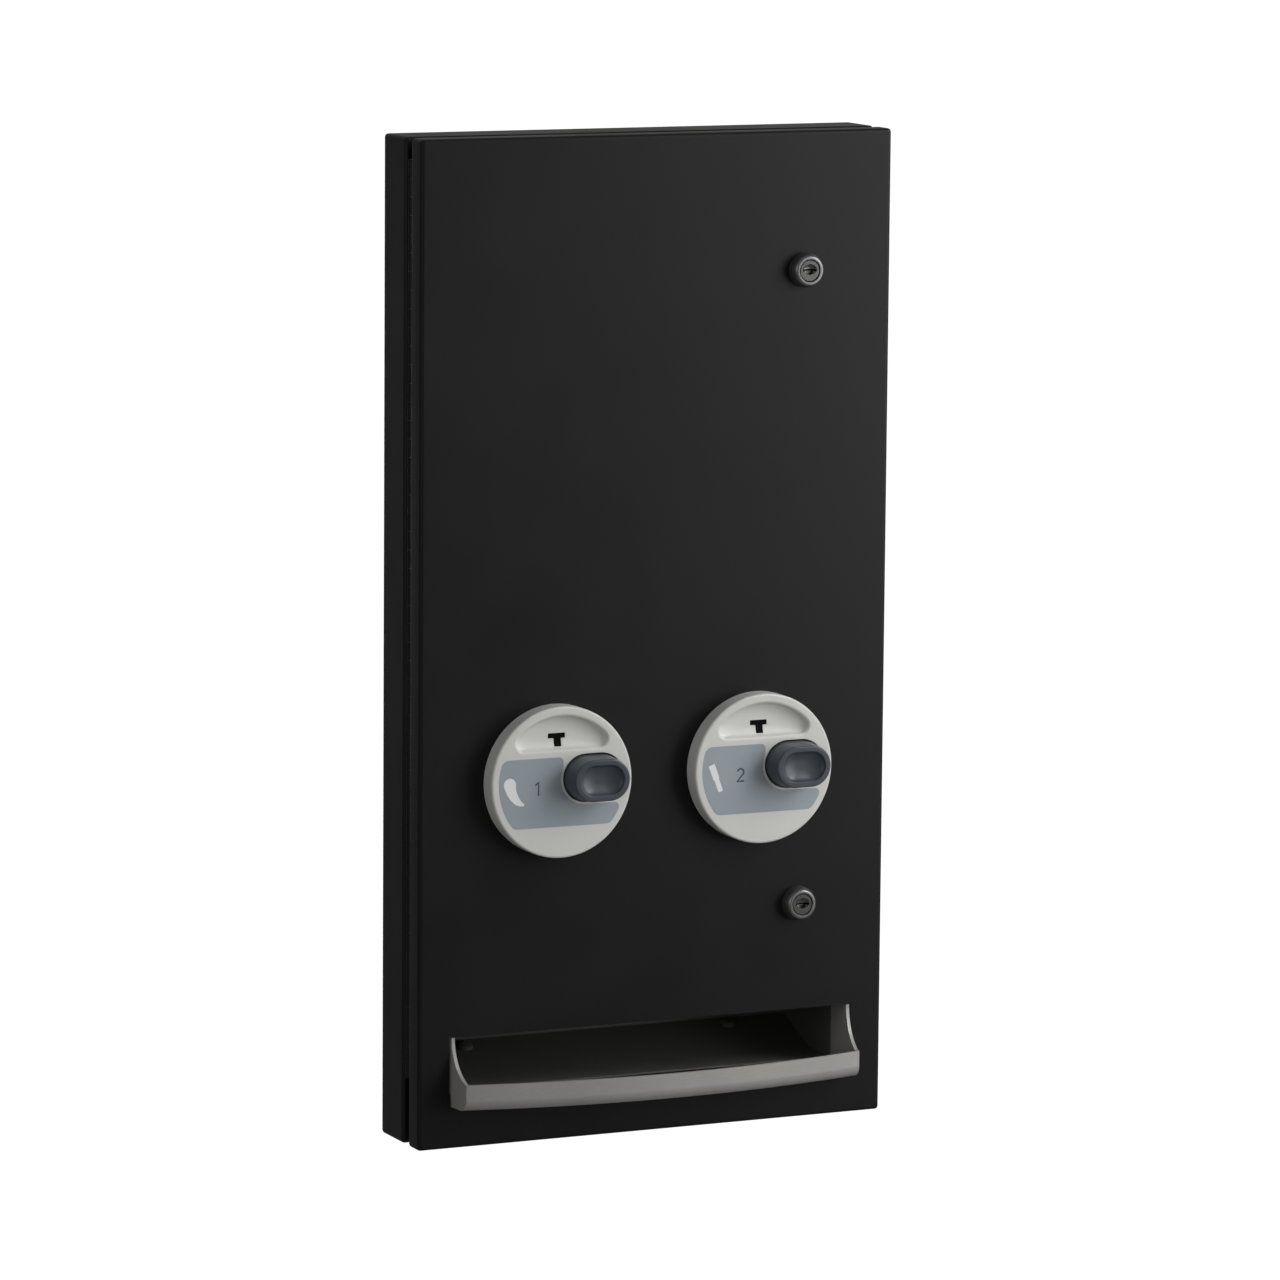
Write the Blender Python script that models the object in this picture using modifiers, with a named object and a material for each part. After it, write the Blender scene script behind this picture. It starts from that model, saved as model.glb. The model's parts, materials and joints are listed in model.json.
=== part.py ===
"""Tampon and pad dispenser: a recessed cabinet with a collar, a hinged door, two push dials and a tray.

Sizes are in metres. X runs to the right, Y into the wall and Z up. The wall's face is the plane y = 0,
and the origin is the centre of the wall opening.
"""

import math

import bmesh
import bpy
from mathutils import Matrix, Vector

# Overall sizes
DOOR_WIDTH = 0.3495
DOOR_HEIGHT = 0.6858
DOOR_DEPTH = 0.018
HINGE_GAP = 0.0094
COLLAR_DEPTH = 0.0379
RECESS_DEPTH = 0.0363

# Sheet metal and clearances
SHEET = 0.0012
BEND_RADIUS = 0.0025
FIT_GAP = 0.0003
HOLE_PLAY = 0.0004
CUT_OVERRUN = 0.004
UNION_LAP = 0.001
WELD_DISTANCE = 0.000001

# Cabinet: the tub in the wall opening and the collar round it
TUB_INSET = 0.0192
TUB_MOUTH_LAP = 0.0015
TUB_BEND_STEPS = 2
FIXING_HOLE_RADIUS = 0.003
FIXING_HOLE_SHARE = 0.70
FIXING_HOLE_DEPTH = 0.018

# Door
DOOR_FLANGE = 0.014
BEND_STEPS = 3

# Continuous hinge
HINGE_TOP_MARGIN = 0.0142
HINGE_BOTTOM_MARGIN = 0.0463
KNUCKLE_PITCH = 0.025
KNUCKLE_RADIUS = 0.0029
KNUCKLE_END_PLAY = 0.0003
LEAF_THICKNESS = 0.0012
LEAF_WIDTH = 0.0105
LEAF_KNEE = 0.0026
HINGE_PIN_RADIUS = 0.0011
HINGE_PIN_SIDES = 8
WRAP_START_DEGREES = 72.0
WRAP_DEGREES = 270.0
WRAP_STEPS = 5

# Dial housings
DIAL_SPREAD_SHARE = 0.4338
DIAL_RISE = 0.2498
DIAL_RADIUS = 0.052
DIAL_DEPTH = 0.014
DIAL_EDGE = 0.0016
DIAL_FRONT_WALL = 0.003
DIAL_SIDE_WALL = 0.003
DIAL_STEPS = 48
DIAL_EDGE_STEPS = 2

# Scooped recess at the top of each dial, and its T-shaped slot
SCOOP_RIM = 0.0061
SCOOP_FLOOR_HEIGHT = 0.0221
SCOOP_CORNER = 0.006
SCOOP_DEPTH = 0.006
SCOOP_BACKING = 0.0025
SCOOP_BOTTOM_SHARES = (0.42, 0.30)
SCOOP_STEPS = 4
SLOT_OFFSET = -0.0018
SLOT_TOP = 0.0332
SLOT_BAR_WIDTH = 0.0122
SLOT_BAR_HEIGHT = 0.0036
SLOT_STEM_WIDTH = 0.0048
SLOT_STEM_HEIGHT = 0.0057
BLANK_MARGIN = 0.003
BLANK_THICKNESS = 0.002

# Push buttons
BUTTON_OFFSET_X = 0.0231
BUTTON_OFFSET_Z = 0.0022
BUTTON_FRONT_HALF_WIDTH = 0.0204
BUTTON_FRONT_HALF_HEIGHT = 0.0144
BUTTON_BASE_HALF_WIDTH = 0.0214
BUTTON_BASE_HALF_HEIGHT = 0.0157
BUTTON_PROUD = 0.016
BUTTON_EDGE = 0.0015
BUTTON_EDGE_STEPS = 2
BUTTON_REAR = 0.022
BUTTON_PLAY = 0.0006
BUTTON_TRAVEL = 0.012
BUTTON_END_STEPS = 8
DISH_HALF_WIDTH = 0.0163
DISH_HALF_HEIGHT = 0.0096
DISH_DEPTH = 0.0042
DISH_BOTTOM_SHARES = (0.45, 0.30)
DISH_STEPS = 4
SLEEVE_WALL = 0.0024
SLEEVE_REACH = 0.020
SPRING_POCKET_RADIUS = 0.0075
SPRING_POCKET_DEPTH = 0.016

# Dial labels and their symbols
LABEL_RADIUS = 0.0468
LABEL_TOP = 0.0174
LABEL_BOTTOM = -0.0303
LABEL_THICKNESS = 0.0006
LABEL_CORNER = 0.0022
LABEL_EDGE_OFFSET = 0.0009
LABEL_RING_HALF_WIDTH = 0.0241
LABEL_RING_HALF_HEIGHT = 0.018
SYMBOL_THICKNESS = 0.0006
PAD_SYMBOL_SPINE = (
    (-0.0386, 0.0005),
    (-0.0380, -0.0026),
    (-0.0368, -0.0057),
    (-0.0352, -0.0086),
    (-0.0332, -0.0110),
    (-0.0311, -0.0126),
    (-0.0291, -0.0135),
)
PAD_SYMBOL_HALF_WIDTHS = (0.0045, 0.0039, 0.0034, 0.0030, 0.0025, 0.0018, 0.0011)
TAMPON_SYMBOL_CENTRE = (-0.0362, -0.0045)
TAMPON_SYMBOL_LENGTH = 0.0200
TAMPON_SYMBOL_WIDTH = 0.0047
TAMPON_SYMBOL_PLUNGER_WIDTH = 0.0036
TAMPON_SYMBOL_CORNER = 0.0012
TAMPON_SYMBOL_TILT_DEGREES = 21.0
TAMPON_SYMBOL_BARREL_SHARE = 0.53

# Plungers, springs and the brackets behind the door
PLUNGER_RADIUS = 0.0025
PLUNGER_SEAT = 0.008
PLUNGER_STEPS = 12
BRACKET_SHEET = 0.0015
BRACKET_WIDTH = 0.024
BRACKET_LEG_GAP = 0.0008
BRACKET_FOOT = 0.0145
BRACKET_DEPTH = 0.036
BRACKET_SCREW_SPREAD = 0.029
CLIP_RADIUS = 0.006
CLIP_THICKNESS = 0.001
SPRING_RADIUS = 0.0054
SPRING_WIRE_RADIUS = 0.0006
SPRING_TURNS = 6
SPRING_POINTS = 8

# Screws
SCREW_RADIUS = 0.002
SCREW_HEAD_RADIUS = 0.0038
SCREW_HEAD_HEIGHT = 0.0024
SCREW_STEPS = 10
SCREW_HEAD_TOP_SHARE = 0.55
SCREW_HEAD_SIDE_SHARE = 0.40
BOSS_RADIUS = 0.0045
BOSS_HOLE_DEPTH = 0.005
BOSS_SCREW_DEPTH = 0.0045

# Cam locks
LOCK_SIDE_MARGIN = 0.06555
UPPER_LOCK_DROP = 0.0951
LOWER_LOCK_RISE = 0.1517
LOCK_BASE_RADIUS = 0.012
LOCK_SHOULDER_RADIUS = 0.0113
LOCK_FACE_RADIUS = 0.0090
LOCK_PROUD = 0.009
LOCK_SHOULDER_HEIGHT = 0.0052
LOCK_BORE_RADIUS = 0.0077
LOCK_BARREL_RADIUS = 0.0092
LOCK_BARREL_REACH = 0.0298
LOCK_STEPS = 20
PLUG_RADIUS = 0.0073
PLUG_RECESS = 0.0006
PLUG_TAIL = 0.0005
KEYWAY_WIDTH = 0.0106
KEYWAY_HEIGHT = 0.0016
KEYWAY_DEPTH = 0.010
LOCK_NUT_RADIUS = 0.0135
LOCK_NUT_THICKNESS = 0.004
CAM_REACH = 0.034
CAM_HALF_WIDTH = 0.0062
CAM_THICKNESS = 0.002
CAM_SCREW_REACH = 0.008
STRIKE_LAP = 0.0092
STRIKE_HEIGHT = 0.030
STRIKE_FOOT = 0.018

# Delivery tray
TRAY_SIDE_MARGIN = 0.0243
TRAY_SIDE_PLAY = 0.0013
TRAY_TAPER = 0.0021
TRAY_END_REACH = 0.021
TRAY_BOW = 0.018
TRAY_REAR_REACH = 0.0235
TRAY_TOP_RISE = 0.0766
TRAY_LIP_TOP_RISE = 0.0478
TRAY_BOTTOM_RISE = 0.029
TRAY_BEND = 0.0085
TRAY_CHEEK = 0.003
TRAY_SHEET = 0.002
TRAY_BOW_STEPS = 12
TRAY_CHEEK_STEPS = 7
TRAY_BEND_STEPS = 4
TRAY_FLANGE = 0.011
TRAY_FLANGE_THICKNESS = 0.002
TRAY_STUD_RISE = 0.0539
TRAY_STUD_LENGTH = 0.0075
TRAY_NUT_RADIUS = 0.0042
TRAY_NUT_THICKNESS = 0.003

# Chute ramp and its ledge
RAMP_SIDE_GAP = 0.00635
RAMP_ANGLE_DEGREES = 22.0
RAMP_FRONT_RISE = 0.0355
RAMP_FLAT = 0.033
RAMP_CHEEK_RISE = 0.0909
RAMP_SCREW_SHARE = 0.684
RAMP_SCREW_SETBACK = 0.0085
RAMP_SCREW_HEAD_RADIUS = 0.0058
RAMP_SCREW_HEAD_HEIGHT = 0.003
RAMP_SCREW_LENGTH = 0.008
LEDGE_WIDTH_SHARE = 0.80
LEDGE_REACH = 0.020
LEDGE_DROP = 0.024

# Stock magazines
MAGAZINE_SPREAD_SHARE = 0.4924
PAD_CHANNEL_SHARE = 0.622
TAMPON_CHANNEL_SHARE = 0.8163
MAGAZINE_SETBACK = 0.062
MAGAZINE_LIP = 0.014
MAGAZINE_TOP_DROP = 0.0429
MAGAZINE_BELOW_GATE = 0.018
MAGAZINE_SCREW_DROP = 0.030
MAGAZINE_SCREW_RISE = 0.052
MAGAZINE_SCREW_LENGTH = 0.006
EAR_THICKNESS = 0.002
EAR_HALF_HEIGHT = 0.010
EAR_NOSE = 0.0075

# Drop gates
GATE_SETBACK = 0.054
GATE_BELOW_BUTTON = 0.0211
GATE_PIN_RADIUS = 0.0019
GATE_PIN_OVERHANG = 0.002
GATE_BOSS_RADIUS = 0.0045
GATE_SIDE_GAP = 0.001
GATE_SHEET = 0.0015
GATE_DROP = 0.012
SHELF_RELIEF = 0.004
GATE_SHELF_START = 0.004
GATE_SHELF_END = 0.041
GATE_ROOT = 0.003
GATE_ARM_FORWARD = 0.0077
GATE_ARM_KNEE = 0.015
GATE_ARM_TOP = 0.028
GATE_ARM_WIDTH = 0.010
GATE_BOSS_SIDES = 12

# Places worked out from the sizes above
HALF_WIDTH = DOOR_WIDTH / 2
HALF_HEIGHT = DOOR_HEIGHT / 2
DOOR_REAR_Y = -COLLAR_DEPTH - HINGE_GAP
DOOR_FRONT_Y = DOOR_REAR_Y - DOOR_DEPTH
DOOR_INNER_Y = DOOR_FRONT_Y + SHEET
DIAL_BACK_Y = DOOR_FRONT_Y - FIT_GAP
DIAL_FACE_Y = DOOR_FRONT_Y - DIAL_DEPTH
TUB_HALF_WIDTH = HALF_WIDTH - TUB_INSET
TUB_HALF_HEIGHT = HALF_HEIGHT - TUB_INSET
TUB_INNER_HALF_WIDTH = TUB_HALF_WIDTH - SHEET
TUB_BACK_Y = RECESS_DEPTH - SHEET
TUB_MOUTH_Y = DOOR_REAR_Y - TUB_MOUTH_LAP
HINGE_X = KNUCKLE_RADIUS + FIT_GAP - HALF_WIDTH
HINGE_Y = DOOR_REAR_Y + HINGE_GAP / 2
HINGE_BOTTOM_Z = HINGE_BOTTOM_MARGIN - HALF_HEIGHT
HINGE_TURNS = int((DOOR_HEIGHT - HINGE_TOP_MARGIN - HINGE_BOTTOM_MARGIN) / KNUCKLE_PITCH)
HINGE_TOP_Z = HINGE_BOTTOM_Z + HINGE_TURNS * KNUCKLE_PITCH
DIAL_SPREAD = HALF_WIDTH * DIAL_SPREAD_SHARE
DIAL_HEIGHT = DIAL_RISE - HALF_HEIGHT
SCOOP_RADIUS = DIAL_RADIUS - SCOOP_RIM
BUTTON_Z = DIAL_HEIGHT + BUTTON_OFFSET_Z
SLEEVE_HALF_WIDTH = BUTTON_BASE_HALF_WIDTH + BUTTON_PLAY + SLEEVE_WALL
SLEEVE_HALF_HEIGHT = BUTTON_BASE_HALF_HEIGHT + BUTTON_PLAY + SLEEVE_WALL
BUTTON_REAR_Y = DIAL_FACE_Y + BUTTON_REAR
POCKET_ROOF_Y = BUTTON_REAR_Y - SPRING_POCKET_DEPTH
BRACKET_REAR_Y = DOOR_FRONT_Y + BRACKET_DEPTH
BRACKET_SEAT_Y = BRACKET_REAR_Y - BRACKET_SHEET
GATE_Y = DOOR_FRONT_Y + GATE_SETBACK
GATE_HEIGHT = BUTTON_Z - GATE_BELOW_BUTTON
PLUNGER_TIP_Y = GATE_Y - GATE_ARM_FORWARD - FIT_GAP
LOCK_OFFSET_X = HALF_WIDTH - LOCK_SIDE_MARGIN
UPPER_LOCK_HEIGHT = HALF_HEIGHT - UPPER_LOCK_DROP
LOWER_LOCK_HEIGHT = LOWER_LOCK_RISE - HALF_HEIGHT
CAM_FRONT_Y = DOOR_FRONT_Y + LOCK_BARREL_REACH + PLUG_TAIL + FIT_GAP
CAM_REAR_Y = CAM_FRONT_Y + CAM_THICKNESS
MAGAZINE_BACK_Y = TUB_BACK_Y - FIT_GAP - SHEET / 2
MAGAZINE_FRONT_Y = DOOR_FRONT_Y + MAGAZINE_SETBACK
MAGAZINE_SPREAD = TUB_INNER_HALF_WIDTH * MAGAZINE_SPREAD_SHARE
PAD_CHANNEL_WIDTH = TUB_INNER_HALF_WIDTH * PAD_CHANNEL_SHARE
TAMPON_CHANNEL_WIDTH = TUB_INNER_HALF_WIDTH * TAMPON_CHANNEL_SHARE
MAGAZINE_TOP = HALF_HEIGHT - MAGAZINE_TOP_DROP
MAGAZINE_BOTTOM = GATE_HEIGHT - MAGAZINE_BELOW_GATE
MAGAZINE_SCREW_TOP = MAGAZINE_TOP - MAGAZINE_SCREW_DROP
MAGAZINE_SCREW_BOTTOM = GATE_HEIGHT + MAGAZINE_SCREW_RISE
FIXING_HOLE_HEIGHT = HALF_HEIGHT * FIXING_HOLE_SHARE
TRAY_HALF_WIDTH = HALF_WIDTH - TRAY_SIDE_MARGIN
TRAY_LIP_HALF_WIDTH = TRAY_HALF_WIDTH - TRAY_TAPER
TRAY_TOP = TRAY_TOP_RISE - HALF_HEIGHT
TRAY_LIP_TOP = TRAY_LIP_TOP_RISE - HALF_HEIGHT
TRAY_BOTTOM = TRAY_BOTTOM_RISE - HALF_HEIGHT
TRAY_STUD_HEIGHT = TRAY_STUD_RISE - HALF_HEIGHT
TRAY_STUD_X = TRAY_HALF_WIDTH + TRAY_FLANGE / 2
RAMP_HALF_WIDTH = TUB_INNER_HALF_WIDTH - RAMP_SIDE_GAP
RAMP_FRONT_HEIGHT = RAMP_FRONT_RISE - HALF_HEIGHT
RAMP_CHEEK_TOP = RAMP_CHEEK_RISE - HALF_HEIGHT
RAMP_SCREW_SPREAD = RAMP_HALF_WIDTH * RAMP_SCREW_SHARE
LEDGE_HALF_WIDTH = RAMP_HALF_WIDTH * LEDGE_WIDTH_SHARE

# Finishes: colour, roughness, metallic
BLACK_PAINT = ((0.013, 0.013, 0.013, 1.0), 0.48, 0.0)
RAMP_PAINT = ((0.020, 0.020, 0.020, 1.0), 0.55, 0.0)
DIAL_PLASTIC = ((0.62, 0.62, 0.57, 1.0), 0.42, 0.0)
LABEL_FILM = ((0.27, 0.31, 0.36, 1.0), 0.45, 0.0)
SYMBOL_FILM = ((0.80, 0.81, 0.80, 1.0), 0.45, 0.0)
BUTTON_PLASTIC = ((0.065, 0.075, 0.095, 1.0), 0.38, 0.0)
BLANK_PLASTIC = ((0.008, 0.008, 0.008, 1.0), 0.60, 0.0)
TRAY_SILVER = ((0.24, 0.24, 0.23, 1.0), 0.40, 0.35)
ZINC_STEEL = ((0.52, 0.53, 0.54, 1.0), 0.36, 1.0)
SPRING_STEEL = ((0.45, 0.45, 0.46, 1.0), 0.28, 1.0)
LOCK_METAL = ((0.10, 0.10, 0.105, 1.0), 0.30, 1.0)
STOCK_STEEL = ((0.42, 0.43, 0.44, 1.0), 0.45, 1.0)

# Ways that a flat outline can face: its own X, Y and Z in world axes, and the axis it is run along
FACING_FRONT = (Matrix(((1, 0, 0), (0, 0, -1), (0, 1, 0))), Vector((0, 1, 0)))
FACING_SIDE = (Matrix(((0, 0, 1), (1, 0, 0), (0, 1, 0))), Vector((1, 0, 0)))
FACING_UP = (Matrix(((1, 0, 0), (0, 1, 0), (0, 0, 1))), Vector((0, 0, 1)))

PARTS_NAME = "dispenser"
CUTTERS_NAME = "dispenser_cutters"


def clear_scene():
    for old in list(bpy.data.objects):
        bpy.data.objects.remove(old, do_unlink=True)
    for name in (PARTS_NAME, CUTTERS_NAME):
        bpy.context.scene.collection.children.link(bpy.data.collections.new(name))


def in_parts(obj, finish):
    """Puts a piece in the object's collection and gives it a material of its own."""
    colour, roughness, metallic = finish
    material = bpy.data.materials.new(obj.name + "_finish")
    material.use_nodes = True
    shader = material.node_tree.nodes["Principled BSDF"]
    shader.inputs["Base Color"].default_value = colour
    shader.inputs["Roughness"].default_value = roughness
    shader.inputs["Metallic"].default_value = metallic
    obj.data.materials.clear()
    obj.data.materials.append(material)
    bpy.data.collections[PARTS_NAME].objects.link(obj)
    return obj


def in_cutters(obj):
    obj.hide_render = True
    obj.display_type = "WIRE"
    bpy.data.collections[CUTTERS_NAME].objects.link(obj)
    return obj


def mesh_object(name, bm):
    mesh = bpy.data.meshes.new(name)
    bm.to_mesh(mesh)
    bm.free()
    return bpy.data.objects.new(name, mesh)


def solid(name, bm):
    """A closed mesh, with its faces turned to look outwards."""
    bmesh.ops.recalc_face_normals(bm, faces=bm.faces)
    if bm.calc_volume(signed=True) < 0:
        bmesh.ops.reverse_faces(bm, faces=bm.faces)
    return mesh_object(name, bm)


def box(name, low, high):
    low, high = Vector(low), Vector(high)
    size = high - low
    place = Matrix.Translation((low + high) / 2) @ Matrix.Diagonal((size.x, size.y, size.z, 1))
    bm = bmesh.new()
    bmesh.ops.create_cube(bm, size=1, matrix=place)
    return solid(name, bm)


def rod(name, radius, start, end, sides):
    """A plain round bar between two points."""
    start, end = Vector(start), Vector(end)
    along = end - start
    turn = along.to_track_quat("Z", "Y").to_matrix().to_4x4()
    bm = bmesh.new()
    bmesh.ops.create_cone(
        bm,
        cap_ends=True,
        segments=sides,
        radius1=radius,
        radius2=radius,
        depth=along.length,
        matrix=Matrix.Translation((start + end) / 2) @ turn,
    )
    return solid(name, bm)


def arc(centre, radius, start_degrees, end_degrees, steps):
    """Points along a circle, both ends included."""
    points = []
    for step in range(steps + 1):
        angle = math.radians(start_degrees + (end_degrees - start_degrees) * step / steps)
        points.append((centre[0] + radius * math.cos(angle), centre[1] + radius * math.sin(angle)))
    return points


def circle(centre, radius, sides):
    return arc(centre, radius, 0, 360, sides)[:-1]


def obround(centre, half_width, half_height, steps):
    """A slot shape that is longer along its first axis."""
    reach = half_width - half_height
    right = arc((centre[0] + reach, centre[1]), half_height, -90, 90, steps)
    left = arc((centre[0] - reach, centre[1]), half_height, 90, 270, steps)
    return right + left


def fillet(points, radius, steps, sharpest_degrees=35.0):
    """The outline with its sharp corners rounded. Corners along an arc turn less, and stay."""
    rounded = []
    count = len(points)
    for index, corner in enumerate(points):
        here = Vector(corner)
        back = (Vector(points[index - 1]) - here).normalized()
        ahead = (Vector(points[(index + 1) % count]) - here).normalized()
        turn = math.pi - back.angle(ahead)
        if turn < math.radians(sharpest_degrees):
            rounded.append(corner)
            continue
        reach = radius * math.tan(turn / 2)
        centre = here + (back + ahead).normalized() * math.hypot(reach, radius)
        first = here + back * reach - centre
        sweep = (here + ahead * reach - centre).angle_signed(first)
        for step in range(steps + 1):
            spoke = first.copy()
            spoke.rotate(Matrix.Rotation(sweep * step / steps, 2))
            rounded.append(tuple(centre + spoke))
    return rounded


def run(bm_or_mesh, facing, middle):
    """Turns a flat shape to face its way and moves it to its place along that axis."""
    turn, axis = facing
    bm_or_mesh.transform(Matrix.Translation(axis * middle) @ turn.to_4x4())


def plate(name, outlines, facing, start, end):
    """A flat outline with any holes in it, from start to end along the axis that it faces."""
    curve = bpy.data.curves.new(name, "CURVE")
    curve.dimensions = "2D"
    curve.fill_mode = "BOTH"
    curve.extrude = abs(end - start) / 2
    for outline in outlines:
        spline = curve.splines.new("POLY")
        spline.points.add(len(outline) - 1)
        for point, (across, up) in zip(spline.points, outline):
            point.co = (across, up, 0, 1)
        spline.use_cyclic_u = True
    guide = bpy.data.objects.new(name, curve)
    bpy.context.scene.collection.objects.link(guide)
    graph = bpy.context.evaluated_depsgraph_get()
    mesh = bpy.data.meshes.new_from_object(guide.evaluated_get(graph))
    bpy.data.objects.remove(guide, do_unlink=True)
    bpy.data.curves.remove(curve)
    bm = bmesh.new()
    bm.from_mesh(mesh)
    bpy.data.meshes.remove(mesh)
    bmesh.ops.remove_doubles(bm, verts=bm.verts, dist=WELD_DISTANCE)
    run(bm, facing, (start + end) / 2)
    return solid(name, bm)


def folded(name, path, facing, start, end, thickness):
    """A sheet folded along a path, whose middle the path is."""
    turn, axis = facing
    bm = bmesh.new()
    rows = []
    for place in (start, end):
        rows.append([bm.verts.new(turn @ Vector((*point, 0)) + axis * place) for point in path])
    for index in range(len(path) - 1):
        bm.faces.new((rows[0][index], rows[0][index + 1], rows[1][index + 1], rows[1][index]))
    obj = mesh_object(name, bm)
    solidify(obj, thickness, 0)
    return obj


def solidify(obj, thickness, offset):
    wall = obj.modifiers.new("Wall", "SOLIDIFY")
    wall.thickness = thickness
    wall.offset = offset
    wall.use_even_offset = True


def bevel(obj, width, steps):
    edge = obj.modifiers.new("Bends", "BEVEL")
    edge.width = width
    edge.segments = steps
    edge.limit_method = "ANGLE"


def turned(name, profile, origin, axis, steps, closed=False):
    """A profile of radius and height turned about an axis that leaves the origin."""
    bm = bmesh.new()
    verts = [bm.verts.new((radius, 0, height)) for radius, height in profile]
    for first, second in zip(verts, verts[1:]):
        bm.edges.new((first, second))
    if closed:
        bm.edges.new((verts[-1], verts[0]))
    mesh = bpy.data.meshes.new(name)
    bm.to_mesh(mesh)
    bm.free()
    obj = bpy.data.objects.new(name, mesh)
    screw = obj.modifiers.new("Turn", "SCREW")
    screw.steps = steps
    screw.render_steps = steps
    screw.use_merge_vertices = True
    screw.merge_threshold = 0.00001
    obj.location = origin
    obj.rotation_euler = Vector(axis).to_track_quat("Z", "Y").to_euler()
    return obj


def combine(obj, others, operation):
    for other in others:
        in_cutters(other)
        step = obj.modifiers.new(other.name, "BOOLEAN")
        step.operation = operation
        step.object = other
    return obj


def join(obj, *others):
    return combine(obj, others, "UNION")


def cut(obj, *others):
    return combine(obj, others, "DIFFERENCE")


def carrier(name, location, parent=None):
    """An empty on a joint's axis, which carries the pieces that move about it."""
    empty = bpy.data.objects.new(name, None)
    empty.location = location
    bpy.data.collections[PARTS_NAME].objects.link(empty)
    if parent:
        carry(parent, empty)
    bpy.context.view_layer.update()
    return empty


def carry(parent, *children):
    bpy.context.view_layer.update()
    for child in children:
        child.parent = parent
        child.matrix_parent_inverse = parent.matrix_world.inverted()


def smooth(obj):
    obj.data.shade_smooth()
    return obj


def pan_head(name, seat, axis, reach, head_radius, head_height):
    """A screw whose head rises from its seat along the axis, and whose shank runs the other way."""
    profile = [
        (0, head_height),
        (head_radius * SCREW_HEAD_TOP_SHARE, head_height),
        (head_radius, head_height * SCREW_HEAD_SIDE_SHARE),
        (head_radius, 0),
        (SCREW_RADIUS, 0),
        (SCREW_RADIUS, -reach),
        (0, -reach),
    ]
    return smooth(turned(name, profile, seat, axis, SCREW_STEPS))


def screw_hole(name, centre, axis, reach):
    """A cutter for a screw's clearance hole, centred on the sheet that it goes through."""
    centre, axis = Vector(centre), Vector(axis)
    return rod(name, SCREW_RADIUS + HOLE_PLAY, centre - axis * reach, centre + axis * reach, SCREW_STEPS)


def faces_towards(bm, axis, way):
    return [face for face in bm.faces if face.normal[axis] * way > 0.5]


def open_box(name, low, high, flanges, open_sides):
    """A folded sheet box. Each open side keeps an inturned flange, or none where its width is zero."""
    low, high = Vector(low), Vector(high)
    size = high - low
    place = Matrix.Translation((low + high) / 2) @ Matrix.Diagonal((size.x, size.y, size.z, 1))
    bm = bmesh.new()
    bmesh.ops.create_cube(bm, size=1, matrix=place)
    bmesh.ops.recalc_face_normals(bm, faces=bm.faces)
    for flange, (axis, way) in zip(flanges, open_sides):
        side = faces_towards(bm, axis, way)
        if flange:
            bmesh.ops.inset_region(bm, faces=side, thickness=flange, use_even_offset=True)
        bmesh.ops.delete(bm, geom=side, context="FACES")
    return mesh_object(name, bm)


def make_tub():
    tub = open_box(
        "recess_tub",
        (-TUB_HALF_WIDTH, TUB_MOUTH_Y, -TUB_HALF_HEIGHT),
        (TUB_HALF_WIDTH, RECESS_DEPTH, TUB_HALF_HEIGHT),
        (0,),
        ((1, -1),),
    )
    bevel(tub, BEND_RADIUS, TUB_BEND_STEPS)
    solidify(tub, SHEET, -1)
    for side in (-1, 1):
        for height in (-FIXING_HOLE_HEIGHT, FIXING_HOLE_HEIGHT):
            wall = side * TUB_HALF_WIDTH
            hole = rod(
                "tub_fixing_hole",
                FIXING_HOLE_RADIUS,
                (wall - CUT_OVERRUN, FIXING_HOLE_DEPTH, height),
                (wall + CUT_OVERRUN, FIXING_HOLE_DEPTH, height),
                SCREW_STEPS,
            )
            cut(tub, hole)
    for _, x, _ in magazines():
        for height in (MAGAZINE_SCREW_BOTTOM, MAGAZINE_SCREW_TOP):
            cut(tub, screw_hole("tub_screw_hole", (x, TUB_BACK_Y, height), (0, 1, 0), CUT_OVERRUN))
    return in_parts(tub, BLACK_PAINT)


def make_collar():
    flange = TUB_INSET - FIT_GAP
    collar = open_box(
        "collar_frame",
        (-HALF_WIDTH, -COLLAR_DEPTH, -HALF_HEIGHT),
        (HALF_WIDTH, 0, HALF_HEIGHT),
        (flange, flange),
        ((1, -1), (1, 1)),
    )
    bevel(collar, BEND_RADIUS, BEND_STEPS)
    solidify(collar, SHEET, -1)
    return in_parts(collar, BLACK_PAINT)


def hinge_leaf(name, side, first):
    """A hinge leaf with its curled knuckles. Side is 1 on the collar and -1 on the door."""
    plate_offset = HINGE_GAP / 2 - FIT_GAP - LEAF_THICKNESS / 2
    curl = arc(
        (0, 0),
        KNUCKLE_RADIUS - LEAF_THICKNESS / 2,
        WRAP_START_DEGREES,
        WRAP_START_DEGREES + WRAP_DEGREES,
        WRAP_STEPS,
    )
    section = [(LEAF_WIDTH, plate_offset), (LEAF_KNEE, plate_offset)] + curl
    bm = bmesh.new()

    def row(height, points):
        return [bm.verts.new((HINGE_X + u, HINGE_Y + side * v, height)) for u, v in points]

    rows = [row(HINGE_BOTTOM_Z, section[:2])]
    for turn in range(HINGE_TURNS):
        middle = HINGE_BOTTOM_Z + KNUCKLE_PITCH * (turn + first)
        half = (KNUCKLE_PITCH / 2 - KNUCKLE_END_PLAY) / 2
        ends = [row(middle - half, section), row(middle + half, section)]
        for index in range(1, len(section) - 1):
            bm.faces.new((ends[0][index], ends[0][index + 1], ends[1][index + 1], ends[1][index]))
        rows += ends
    rows.append(row(HINGE_TOP_Z, section[:2]))
    for below, above in zip(rows, rows[1:]):
        bm.faces.new((below[0], below[1], above[1], above[0]))
    leaf = mesh_object(name, bm)
    solidify(leaf, LEAF_THICKNESS, 0)
    return in_parts(leaf, BLACK_PAINT)


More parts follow.
